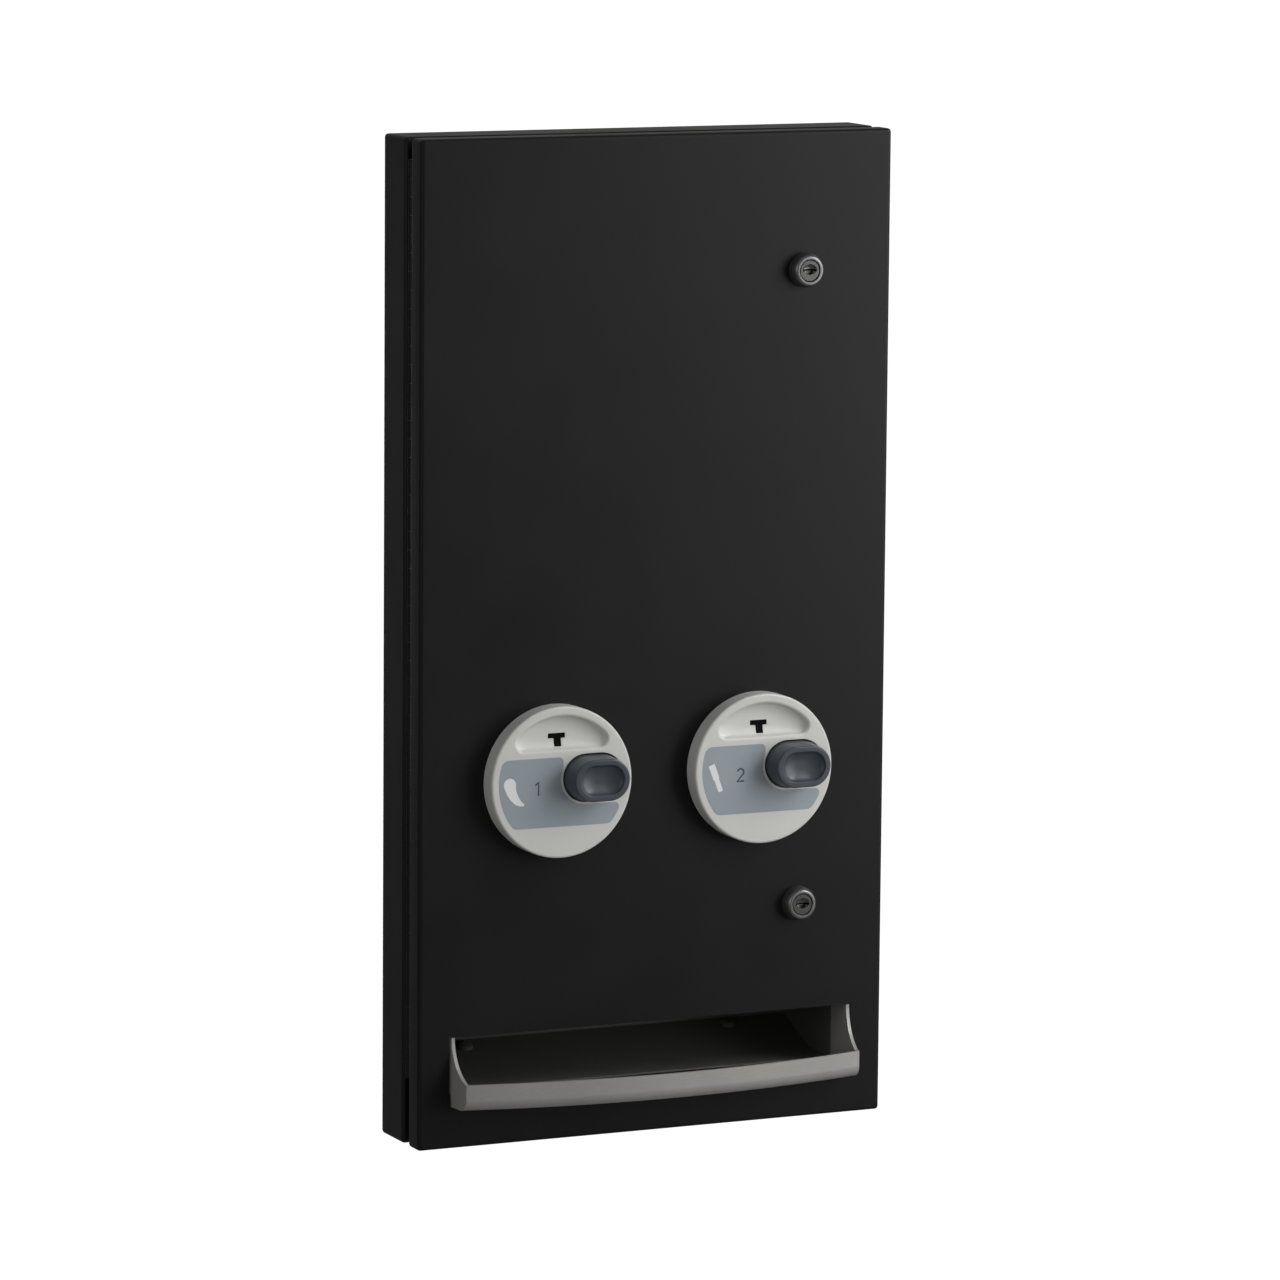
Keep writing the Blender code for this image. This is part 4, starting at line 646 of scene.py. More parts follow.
@dataclass(frozen=True)
class Socket:
    """One named input or output of a shared effect."""

    label: str
    kind: str = "NodeSocketFloat"
    value: float | Triple | None = None


class SharedEffect:
    """A shader node group that several finishes use, built once."""

    name = ""
    inputs: tuple[Socket, ...] = ()
    outputs: tuple[Socket, ...] = ()
    noise_detail = 2.0
    noise_roughness = 0.5
    noise_distortion = 0.0
    noise_reach: Point = (0.3, 0.7)

    def __init__(self) -> None:
        """Makes the group's tree with its named sockets and fills it."""
        self.tree = bpy.data.node_groups.new(self.name, "ShaderNodeTree")
        for way, sockets in (("INPUT", self.inputs), ("OUTPUT", self.outputs)):
            for socket in sockets:
                made = self.tree.interface.new_socket(socket.label, in_out=way, socket_type=socket.kind)
                if socket.value is not None:
                    made.default_value = socket.value
        graph = Graph(self.tree)
        entry = graph.add("NodeGroupInput")
        leaving = graph.add("NodeGroupOutput")
        for label, result in self.fill(graph, entry.outputs).items():
            self.tree.links.new(result, leaving.inputs[label])

    def fill(self, graph: Graph, given: bpy.types.NodeOutputs) -> Results:
        """Adds the effect's nodes and returns its results by name."""
        raise NotImplementedError

    def noise(self, graph: Graph, place: Link, scale: object) -> Link:
        """The effect's own cloudy noise."""
        return graph.noise(place, scale, self.noise_detail, self.noise_roughness, self.noise_distortion)

    @staticmethod
    def place(graph: Graph) -> Link:
        """The place on the piece in metres, which stays with the piece as it moves."""
        return graph.add("ShaderNodeTexCoord").outputs["Object"]


class PebbleGrain(SharedEffect):
    """The fine rounded grain of powder coat and of spark-eroded moulds."""

    name = "pebble_grain"
    inputs = (Socket("Scale", value=500.0), Socket("Fineness", value=0.5))
    outputs = (Socket("Height"), Socket("Tone"))
    noise_roughness = 0.55
    noise_reach = (0.25, 0.75)
    noise_fineness = 2.3

    def fill(self, graph: Graph, given: bpy.types.NodeOutputs) -> Results:
        """Mixes rounded cells with fine noise."""
        place = self.place(graph)
        inputs = {"Vector": place, "Scale": given["Scale"], "Smoothness": 1.0}
        cells = graph.add("ShaderNodeTexVoronoi", inputs, feature="SMOOTH_F1").outputs[0]
        finer = graph.math("MULTIPLY", given["Scale"], self.noise_fineness)
        noise = self.noise(graph, place, finer)
        kept = graph.math("MULTIPLY", cells, graph.math("SUBTRACT", 1.0, given["Fineness"]))
        added = graph.math("MULTIPLY", noise, given["Fineness"])
        height = graph.math("ADD", kept, added)
        return {"Height": height, "Tone": graph.spread(noise, -1.0, 1.0, *self.noise_reach)}


class SoftMottle(SharedEffect):
    """Broad soft unevenness of a colour or a gloss."""

    name = "soft_mottle"
    inputs = (Socket("Scale", value=14.0), Socket("Contrast", value=0.5))
    outputs = (Socket("Swing"),)
    noise_detail = 3.0
    noise_distortion = 0.4

    def fill(self, graph: Graph, given: bpy.types.NodeOutputs) -> Results:
        """Spreads a low noise about its middle."""
        noise = self.noise(graph, self.place(graph), given["Scale"])
        half = graph.math("MULTIPLY", given["Contrast"], 0.5)
        low = graph.math("SUBTRACT", 0.5, half)
        high = graph.math("ADD", 0.5, half)
        return {"Swing": graph.spread(graph.spread(noise, low, high, *self.noise_reach), -1.0, 1.0)}


class DrawnLines(SharedEffect):
    """Fine parallel lines, as brushing, drawing or turning leaves them."""

    name = "drawn_lines"
    inputs = (Socket("Scale", value=900.0), Socket("Stretch", "NodeSocketVector", (1.0, 1.0, 0.04)))
    outputs = (Socket("Height"), Socket("Tone"))
    noise_detail = 4.0
    noise_roughness = 0.65

    def fill(self, graph: Graph, given: bpy.types.NodeOutputs) -> Results:
        """Stretches a noise along the lines."""
        inputs = {0: self.place(graph), 1: given["Stretch"]}
        place = graph.add("ShaderNodeVectorMath", inputs, operation="MULTIPLY").outputs[0]
        noise = self.noise(graph, place, given["Scale"])
        return {"Height": noise, "Tone": graph.spread(noise, -1.0, 1.0, *self.noise_reach)}


class ZincSpangle(SharedEffect):
    """The patchwork of crystals on hot-dipped or plated zinc."""

    name = "zinc_spangle"
    inputs = (Socket("Scale", value=120.0),)
    outputs = (Socket("Tone"), Socket("Height"))
    bend = 0.004

    def fill(self, graph: Graph, given: bpy.types.NodeOutputs) -> Results:
        """Gives each crystal a tone of its own, with a faint grain in it."""
        place = self.place(graph)
        inputs = {"Vector": place, "Scale": given["Scale"], "Detail": self.noise_detail}
        bent = graph.add("ShaderNodeTexNoise", inputs).outputs[1]
        moved = graph.add("ShaderNodeVectorMath", {0: bent, "Scale": self.bend}, operation="SCALE").outputs[0]
        where = graph.add("ShaderNodeVectorMath", {0: place, 1: moved}, operation="ADD").outputs[0]
        cells = graph.add("ShaderNodeTexVoronoi", {"Vector": where, "Scale": given["Scale"]})
        tone = graph.add("ShaderNodeSeparateColor", {0: cells.outputs[1]}).outputs[0]
        return {"Tone": graph.spread(tone, -1.0, 1.0), "Height": cells.outputs[0]}


class EdgeWear(SharedEffect):
    """A mask of the edges that hands and tools rub, broken up by noise."""

    name = "edge_wear"
    inputs = (Socket("Radius", value=0.0012), Socket("Breakup", value=160.0), Socket("Amount", value=0.5))
    outputs = (Socket("Mask"),)
    noise_detail = 3.0
    noise_reach = (0.42, 0.62)
    edge_reach = (0.80, 0.995)

    def fill(self, graph: Graph, given: bpy.types.NodeOutputs) -> Results:
        """Compares the surface's direction with the one that a rounded edge would have."""
        rounded = graph.add("ShaderNodeBevel", {"Radius": given["Radius"]}, samples=4).outputs[0]
        actual = graph.add("ShaderNodeNewGeometry").outputs["Normal"]
        same = graph.add("ShaderNodeVectorMath", {0: rounded, 1: actual}, operation="DOT_PRODUCT")
        edge = graph.spread(same.outputs["Value"], 1.0, 0.0, *self.edge_reach)
        noise = self.noise(graph, self.place(graph), given["Breakup"])
        broken = graph.math("MULTIPLY", edge, graph.spread(noise, 0.0, 1.0, *self.noise_reach))
        return {"Mask": graph.math("MULTIPLY", broken, given["Amount"], clamp=True)}


class SettledDust(SharedEffect):
    """A mask of the fine dust that settles on surfaces that look up."""

    name = "settled_dust"
    inputs = (Socket("Scale", value=260.0), Socket("Amount", value=0.1))
    outputs = (Socket("Mask"),)
    noise_detail = 5.0
    noise_roughness = 0.7
    noise_reach = (0.35, 0.65)
    least_upward = 0.35
    least_speckle = 0.2

    def fill(self, graph: Graph, given: bpy.types.NodeOutputs) -> Results:
        """Takes the upward share of the surface's direction, speckled."""
        normal = graph.add("ShaderNodeNewGeometry").outputs["Normal"]
        upward = graph.add("ShaderNodeSeparateXYZ", {0: normal}).outputs["Z"]
        facing = graph.spread(upward, 0.0, 1.0, self.least_upward, 1.0)
        noise = self.noise(graph, self.place(graph), given["Scale"])
        speckle = graph.spread(noise, self.least_speckle, 1.0, *self.noise_reach)
        speckled = graph.math("MULTIPLY", facing, speckle)
        return {"Mask": graph.math("MULTIPLY", speckled, given["Amount"], clamp=True)}


@dataclass(frozen=True)
class Effects:
    """The shared effects, each built once."""

    pebble: bpy.types.NodeTree
    mottle: bpy.types.NodeTree
    lines: bpy.types.NodeTree
    spangle: bpy.types.NodeTree
    wear: bpy.types.NodeTree
    dust: bpy.types.NodeTree

    @classmethod
    def build(cls) -> Effects:
        """Builds every shared effect."""
        kinds = (PebbleGrain, SoftMottle, DrawnLines, ZincSpangle, EdgeWear, SettledDust)
        return cls(*(kind().tree for kind in kinds))


@dataclass(frozen=True)
class Finish:
    """What all finishes of the dispenser share: a colour, a gloss and how much both vary."""

    slot: Slot
    colour: Colour
    roughness: float
    metallic: float = 0.0
    specular: float = 0.5
    mottle_scale: float = 14.0
    mottle_contrast: float = 0.8
    mottle_share: float = 0.06
    gloss_swing: float = 0.05
    grain_scale: float = 500.0
    grain_depth: float = 0.00001
    grain_tone: float = 0.05
    dust: float = 0.0
    dust_colour: Colour = (0.35, 0.34, 0.32, 1.0)
    label: str = ""

    @property
    def name(self) -> str:
        """The finish's own name, or its slot's where one finish is all that the slot has."""
        return self.label or self.slot.value

    def build(self, effects: Effects) -> bpy.types.Material:
        """Makes the material.

        Args:
            effects: The shared node groups.

        Returns:
            The finished material.
        """
        material = bpy.data.materials.new(self.name)
        material.use_nodes = True
        graph = Graph(material.node_tree)
        shader = material.node_tree.nodes["Principled BSDF"]
        shader.inputs["Metallic"].default_value = self.metallic
        shader.inputs["Specular IOR Level"].default_value = self.specular
        close_up = self.surface(graph, effects)
        height, tone = close_up["Height"], close_up["Tone"]
        mottle = graph.group(effects.mottle, {"Scale": self.mottle_scale, "Contrast": self.mottle_contrast})
        swing = mottle.outputs["Swing"]
        shade = graph.math("MULTIPLY", swing, self.mottle_share)
        shade = graph.math("ADD", shade, graph.math("MULTIPLY", tone, self.grain_tone))
        shade = graph.math("ADD", shade, 1.0)
        inputs = {0: self.colour[:3], "Scale": shade}
        tinted = graph.add("ShaderNodeVectorMath", inputs, operation="SCALE").outputs[0]
        gloss = graph.math("MULTIPLY", swing, self.gloss_swing)
        gloss = graph.math("ADD", gloss, self.roughness)
        gloss = graph.math("ADD", gloss, graph.math("MULTIPLY", tone, self.gloss_swing / 2), clamp=True)
        colour, gloss = self.aged(graph, effects, tinted, gloss)
        bump = graph.add("ShaderNodeBump", {"Distance": self.grain_depth, "Height": height, "Strength": 1.0})
        graph.tree.links.new(colour, shader.inputs["Base Color"])
        graph.tree.links.new(gloss, shader.inputs["Roughness"])
        graph.tree.links.new(bump.outputs[0], shader.inputs["Normal"])
        return material

    def surface(self, graph: Graph, effects: Effects) -> bpy.types.NodeOutputs:
        """The outputs that hold the surface's close-up height and tone."""
        return graph.group(effects.pebble, {"Scale": self.grain_scale}).outputs

    def aged(self, graph: Graph, effects: Effects, colour: Link, gloss: Link) -> tuple[Link, Link]:
        """The colour and the gloss with any dust on them."""
        if not self.dust:
            return colour, gloss
        dust = graph.group(effects.dust, {"Amount": self.dust}).outputs[0]
        return graph.blend(dust, colour, self.dust_colour), graph.math("ADD", gloss, dust, clamp=True)


@dataclass(frozen=True)
class PowderCoat(Finish):
    """Satin powder coat on sheet steel, rubbed a little at its edges."""

    worn_colour: Colour = (0.05, 0.05, 0.05, 1.0)
    worn_share: float = 0.25
    worn_radius: float = 0.0009
    worn_gloss: float = 0.12

    def aged(self, graph: Graph, effects: Effects, colour: Link, gloss: Link) -> tuple[Link, Link]:
        """The coat with its rubbed edges, and dust over both."""
        wear = graph.group(effects.wear, {"Radius": self.worn_radius, "Amount": self.worn_share}).outputs[0]
        colour = graph.blend(wear, colour, self.worn_colour)
        gloss = graph.math("SUBTRACT", gloss, graph.math("MULTIPLY", wear, self.worn_gloss))
        return super().aged(graph, effects, colour, gloss)


@dataclass(frozen=True)
class MouldedPlastic(Finish):
    """Injection-moulded plastic with a fine spark-eroded grain."""

    fineness: float = 0.7

    def surface(self, graph: Graph, effects: Effects) -> bpy.types.NodeOutputs:
        """The height and tone of the mould's grain."""
        inputs = {"Scale": self.grain_scale, "Fineness": self.fineness}
        return graph.group(effects.pebble, inputs).outputs


@dataclass(frozen=True)
class BrushedMetal(Finish):
    """Bare, plated or painted metal with lines left by drawing, turning or brushing."""

    stretch: Triple = (1.0, 1.0, 0.04)

    def surface(self, graph: Graph, effects: Effects) -> bpy.types.NodeOutputs:
        """The lines' height and tone."""
        return graph.group(effects.lines, {"Scale": self.grain_scale, "Stretch": self.stretch}).outputs


@dataclass(frozen=True)
class SpangledSheet(Finish):
    """Galvanised sheet with its crystals."""

    def surface(self, graph: Graph, effects: Effects) -> bpy.types.NodeOutputs:
        """The crystals' height and tone."""
        return graph.group(effects.spangle, {"Scale": self.grain_scale}).outputs


FINISHES: tuple[Finish, ...] = (
    PowderCoat(
        Slot.BLACK_PAINT, (0.0042, 0.0042, 0.0042, 1.0), 0.43, specular=0.225, grain_scale=520.0, dust=0.012
    ),
    # The ramp's dark grey is partly paint and partly painted shade: it darkens the ramp for the shade deep
    # inside the tray.
    PowderCoat(Slot.RAMP_PAINT_AND_SHADE, (0.085, 0.085, 0.078, 1.0), 0.55, grain_scale=420.0, worn_share=0.3),
    MouldedPlastic(
        Slot.DIAL_PLASTIC,
        (0.632, 0.632, 0.605, 1.0),
        0.42,
        grain_scale=1500.0,
        grain_tone=0.012,
        mottle_share=0.015,
    ),
    MouldedPlastic(
        Slot.LABEL_FILM,
        (0.306, 0.353, 0.388, 1.0),
        0.40,
        grain_scale=1800.0,
        grain_tone=0.03,
        mottle_share=0.02,
    ),
    MouldedPlastic(
        Slot.SYMBOL_FILM,
        (0.80, 0.81, 0.80, 1.0),
        0.42,
        grain_scale=1800.0,
        grain_tone=0.01,
        mottle_share=0.01,
    ),
    MouldedPlastic(
        Slot.BUTTON_PLASTIC,
        (0.056, 0.066, 0.081, 1.0),
        0.34,
        specular=0.42,
        grain_scale=1300.0,
        grain_tone=0.04,
        mottle_share=0.04,
    ),
    MouldedPlastic(Slot.BLANK_PLASTIC, (0.003, 0.003, 0.003, 1.0), 0.70, specular=0.06, grain_scale=900.0),
    BrushedMetal(
        Slot.TRAY_SILVER,
        (0.352, 0.347, 0.334, 1.0),
        0.42,
        metallic=0.2,
        grain_scale=1400.0,
        stretch=(0.05, 1.0, 1.0),
        grain_depth=0.000004,
    ),
    SpangledSheet(
        Slot.ZINC_STEEL,
        (0.52, 0.53, 0.54, 1.0),
        0.36,
        metallic=1.0,
        grain_scale=420.0,
        grain_depth=0.000004,
        grain_tone=0.10,
    ),
    BrushedMetal(
        Slot.SPRING_STEEL,
        (0.45, 0.45, 0.46, 1.0),
        0.28,
        metallic=1.0,
        grain_scale=2400.0,
        grain_depth=0.000002,
    ),
    BrushedMetal(
        Slot.LOCK_METAL,
        (0.20, 0.20, 0.203, 1.0),
        0.36,
        metallic=0.85,
        grain_scale=1700.0,
        stretch=(1.0, 0.3, 1.0),
        grain_depth=0.000003,
    ),
    MouldedPlastic(
        Slot.LOCK_METAL,
        (0.105, 0.105, 0.102, 1.0),
        0.40,
        metallic=1.0,
        grain_scale=900.0,
        grain_depth=0.00002,
        grain_tone=0.35,
        label="lock_plug_metal",
    ),
    PowderCoat(Slot.LOCK_METAL, (0.075, 0.075, 0.070, 1.0), 0.5, grain_scale=900.0, label="screw_black"),
    SpangledSheet(
        Slot.STOCK_STEEL,
        (0.42, 0.43, 0.44, 1.0),
        0.45,
        metallic=1.0,
        grain_scale=130.0,
        grain_depth=0.00001,
        grain_tone=0.16,
    ),
)


class Workbench:
    """Puts finished pieces on the object: name, finish, slot, body and the node that each stands for."""

    def __init__(self) -> None:
        """Builds the shared effects and one material for each finish."""
        effects = Effects.build()
        self.materials = {finish.name: finish.build(effects) for finish in FINISHES}

    def stand_in(
        self, obj: Piece, node: str, slot: Slot, finish: str = "", sharpest: float = 40.0
    ) -> Piece:
        """Lets a finer piece stand for a node of the frame.

        Args:
            obj: The finer piece, in place.
            node: The node that it stands for.
            slot: Its slot in the record.
            finish: The name of its finish, where the slot has more than one.
            sharpest: Edges that turn by more degrees than this stay sharp in its shading.

        Returns:
            The piece.
        """
        self.dress(obj, node + "_form", slot, finish, sharpest)
        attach(obj, frame["nodes"][node]["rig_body"])
        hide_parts(node)
        return obj

    def add_on(self, obj: Piece, name: str, carrier: str, slot: Slot) -> None:
        """Adds a detail that no node stands for, on the body of the node that carries it."""
        self.dress(obj, name, slot)
        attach(obj, frame["nodes"][carrier]["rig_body"])

    def dress(
        self, obj: Piece, name: str, slot: Slot, finish: str = "", sharpest: float = 40.0
    ) -> None:
        """Shades the piece, names it and gives it its finish."""
        shaded(obj, sharpest)
        obj.name = name
        obj.data.name = name
        obj.data.materials.clear()
        obj.data.materials.append(self.materials[finish or slot.value])
        LOG.info("%s: %d faces, %s", name, len(obj.data.polygons), finish or slot.value)

    def refine(self, slot: Slot, edge: float, *nodes: str) -> None:
        """Stands copies of nodes in their places, with softened edges and even shading."""
        for node in nodes:
            self.stand_in(softened(copied(node), edge), node, slot)


@dataclass
class Cabinet:
    """The tub in the wall, the collar round it and the strikes that the cams turn behind."""

    edge: float = 0.15 * MILLIMETRE

    def build(self, bench: Workbench) -> None:
        """Refines the cabinet's sheet metal."""
        bench.refine(Slot.BLACK_PAINT, self.edge, "recess_tub", "collar_frame")
        bench.refine(Slot.ZINC_STEEL, self.edge, "upper_strike", "lower_strike")


@dataclass
class DoorPanel:
    """The folded door."""

    edge: float = 0.15 * MILLIMETRE

    def build(self, bench: Workbench) -> None:
        """Refines the door's sheet metal."""
        bench.refine(Slot.BLACK_PAINT, self.edge, "door_panel")


@dataclass
class ContinuousHinge:
    """The piano hinge: two leaves with smoothly curled knuckles on one long pin."""

    knuckle_pitch: float = 25.0 * MILLIMETRE
    knuckle_radius: float = 2.9 * MILLIMETRE
    frame_first: float = 0.25
    door_first: float = 0.75
    end_play: float = 0.3 * MILLIMETRE
    leaf_thickness: float = 1.2 * MILLIMETRE
    leaf_width: float = 10.5 * MILLIMETRE
    leaf_knee: float = 2.6 * MILLIMETRE
    plate_offset: float = 3.8 * MILLIMETRE
    wrap_start: float = 72.0
    wrap: float = 270.0
    wrap_steps: int = 16
    pin_sides: int = 24
    pin_chamfer: float = 0.3 * MILLIMETRE

    def build(self, bench: Workbench) -> None:
        """Makes both leaves and the pin."""
        pin = Box.of("hinge_pin")
        turns = round(pin.size.z / self.knuckle_pitch)
        leaves = (("hinge_frame_leaf", 1, self.frame_first), ("hinge_door_leaf", -1, self.door_first))
        for node, side, first in leaves:
            leaf = self.leaf(pin.centre, pin.low.z, pin.high.z, side, first, turns)
            bench.stand_in(leaf, node, Slot.BLACK_PAINT)
        start = Vector((pin.centre.x, pin.centre.y, pin.low.z))
        wire = rod(start, UPWARD, pin.size.z, pin.size.x / 2, self.pin_chamfer, self.pin_sides)
        bench.stand_in(wire, "hinge_pin", Slot.ZINC_STEEL)

    def leaf(
        self, centre: Vector, bottom: float, top: float, side: int, first: float, turns: int
    ) -> Piece:
        """One leaf with its knuckles.

        Args:
            centre: A point on the pin.
            bottom: The leaf's lower end.
            top: The leaf's upper end.
            side: 1 for the collar's leaf and -1 for the door's.
            first: The first knuckle's middle, as a share of the pitch.
            turns: How many knuckles the leaf has.

        Returns:
            The leaf.
        """
        curl = arc(
            (0, 0),
            self.knuckle_radius - self.leaf_thickness / 2,
            self.wrap_start,
            self.wrap_start + self.wrap,
            self.wrap_steps,
        )
        section = [(self.leaf_width, self.plate_offset), (self.leaf_knee, self.plate_offset)] + curl
        bm = bmesh.new()

        def row(height: float, points: Sequence[Point]) -> list[bmesh.types.BMVert]:
            """The section's points at one height."""
            return [bm.verts.new((centre.x + u, centre.y + side * v, height)) for u, v in points]

        rows = [row(bottom, section[:2])]
        half = (self.knuckle_pitch / 2 - self.end_play) / 2
        for turn in range(turns):
            middle = bottom + self.knuckle_pitch * (turn + first)
            ends = [row(middle - half, section), row(middle + half, section)]
            for index in range(1, len(section) - 1):
                bm.faces.new((ends[0][index], ends[0][index + 1], ends[1][index + 1], ends[1][index]))
            rows += ends
        rows.append(row(top, section[:2]))
        for below, above in zip(rows, rows[1:]):
            bm.faces.new((below[0], below[1], above[1], above[0]))
        leaf = solid(bm)
        wall = leaf.modifiers.new("wall", "SOLIDIFY")
        wall.thickness = self.leaf_thickness
        wall.offset = 0
        wall.use_even_offset = True
        return settled(leaf)


def smoothed(values: Sequence, steps: int) -> list:
    """Values or points on a smooth curve through the given ones, so many steps apart."""
    curve = []
    for index in range(len(values) - 1):
        before, start = values[max(index - 1, 0)], values[index]
        end, after = values[index + 1], values[min(index + 2, len(values) - 1)]
        for step in range(steps):
            t = step / steps
            curve.append(
                start * (1 - 2.5 * t**2 + 1.5 * t**3)
                + end * (0.5 * t + 2 * t**2 - 1.5 * t**3)
                + before * (-0.5 * t + t**2 - 0.5 * t**3)
                + after * (-0.5 * t**2 + 0.5 * t**3)
            )
    return curve + [values[-1]]


def half_turn(centre: Vector, first: Vector, steps: int) -> list[Vector]:
    """Half a turn round a stroke's end, clockwise from its first point."""
    points = []
    for step in range(steps + 1):
        spoke = first - centre
        spoke.rotate(Matrix.Rotation(-math.pi * step / steps, 2))
        points.append(centre + spoke)
    return points


class Picture:
    """The picture on a dial's label."""

    def outline(self, grow: float) -> list[Point]:
        """The outline about the dial's centre, so far outside the picture's own edge."""
        raise NotImplementedError

    def lines(self) -> list[list[Point]]:
        """The outlines of the fine lines in the picture."""
        return []


@dataclass(frozen=True)
class PadPicture(Picture):
    """A pad: a bowed stroke with a round head that thins to a rounded tail, in millimetres."""

    head: tuple[Point, ...] = ((-38.6, 0.5), (-38.0, -2.6), (-36.8, -5.7), (-35.2, -8.6))
    tail: tuple[Point, ...] = ((-33.2, -11.0), (-31.1, -12.6), (-29.1, -13.5))
    halves: tuple[float, ...] = (4.5, 3.9, 3.4, 3.0, 2.5, 1.8, 1.1)
    smoothing: int = 4
    tail_steps: int = 10
    head_steps: int = 20

    def outline(self, grow: float) -> list[Point]:
        """The stroke's two sides, joined round its ends."""
        spine = smoothed([Vector(point) * MILLIMETRE for point in self.head + self.tail], self.smoothing)
        halves = smoothed([half * MILLIMETRE + grow for half in self.halves], self.smoothing)
        near, far = [], []
        for index, (point, half) in enumerate(zip(spine, halves)):
            before, after = spine[max(index - 1, 0)], spine[min(index + 1, len(spine) - 1)]
            across = (after - before).orthogonal().normalized() * half
            near.append(point + across)
            far.append(point - across)
        outline = near[1:-1] + half_turn(spine[-1], near[-1], self.tail_steps)
        outline += far[-2:0:-1] + half_turn(spine[0], far[0], self.head_steps)
        return [tuple(point) for point in outline]


@dataclass(frozen=True)
class TamponPicture(Picture):
    """A tampon in its tube: a wide barrel over a narrower plunger, leaning."""

    centre: Point = (-36.2 * MILLIMETRE, -4.5 * MILLIMETRE)
    length: float = 20.0 * MILLIMETRE
    width: float = 4.7 * MILLIMETRE
    plunger_width: float = 3.6 * MILLIMETRE
    corner: float = 1.2 * MILLIMETRE
    corner_steps: int = 8
    tilt: float = 21.0
    barrel_share: float = 0.53
    line_width: float = 0.35 * MILLIMETRE

    def leaning(self, outline: Iterable[Point]) -> list[Point]:
        """An upright outline, leant and moved to the picture's place."""
        lean = math.radians(self.tilt)
        cosine, sine = math.cos(lean), math.sin(lean)
        return [
            (self.centre[0] + u * cosine - v * sine, self.centre[1] + u * sine + v * cosine)
            for u, v in outline
        ]

    def outline(self, grow: float) -> list[Point]:
        """The barrel's square top, its shoulders and the plunger's rounded foot."""
        half = self.length / 2 + grow
        barrel, plunger = self.width / 2 + grow, self.plunger_width / 2 + grow
        shoulder = half - self.length * self.barrel_share - 2 * grow
        corner, steps = self.corner + grow, self.corner_steps
        outline = [(barrel, half), (-barrel, half), (-barrel, shoulder), (-plunger, shoulder)]
        outline += arc((corner - plunger, corner - half), corner, 180, 270, steps)
        outline += arc((plunger - corner, corner - half), corner, 270, 360, steps)
        outline += [(plunger, shoulder), (barrel, shoulder)]
        return self.leaning(outline)

    def lines(self) -> list[list[Point]]:
        """The joint between the barrel and the plunger."""
        high = self.length / 2 - self.length * self.barrel_share
        low, half = high - self.line_width, self.width / 2
        return [self.leaning([(half, high), (-half, high), (-half, low), (half, low)])]


PICTURES: dict[str, Picture] = {"pad": PadPicture(), "tampon": TamponPicture()}
NUMERAL_STROKES: dict[int, list[Point]] = {
    1: [(-0.22, 0.76), (0.03, 0.96), (0.03, 0.0)],
    2: arc((0.0, 0.71), 0.25, 165, -38, 18) + [(-0.26, 0.045), (0.29, 0.045)],
}


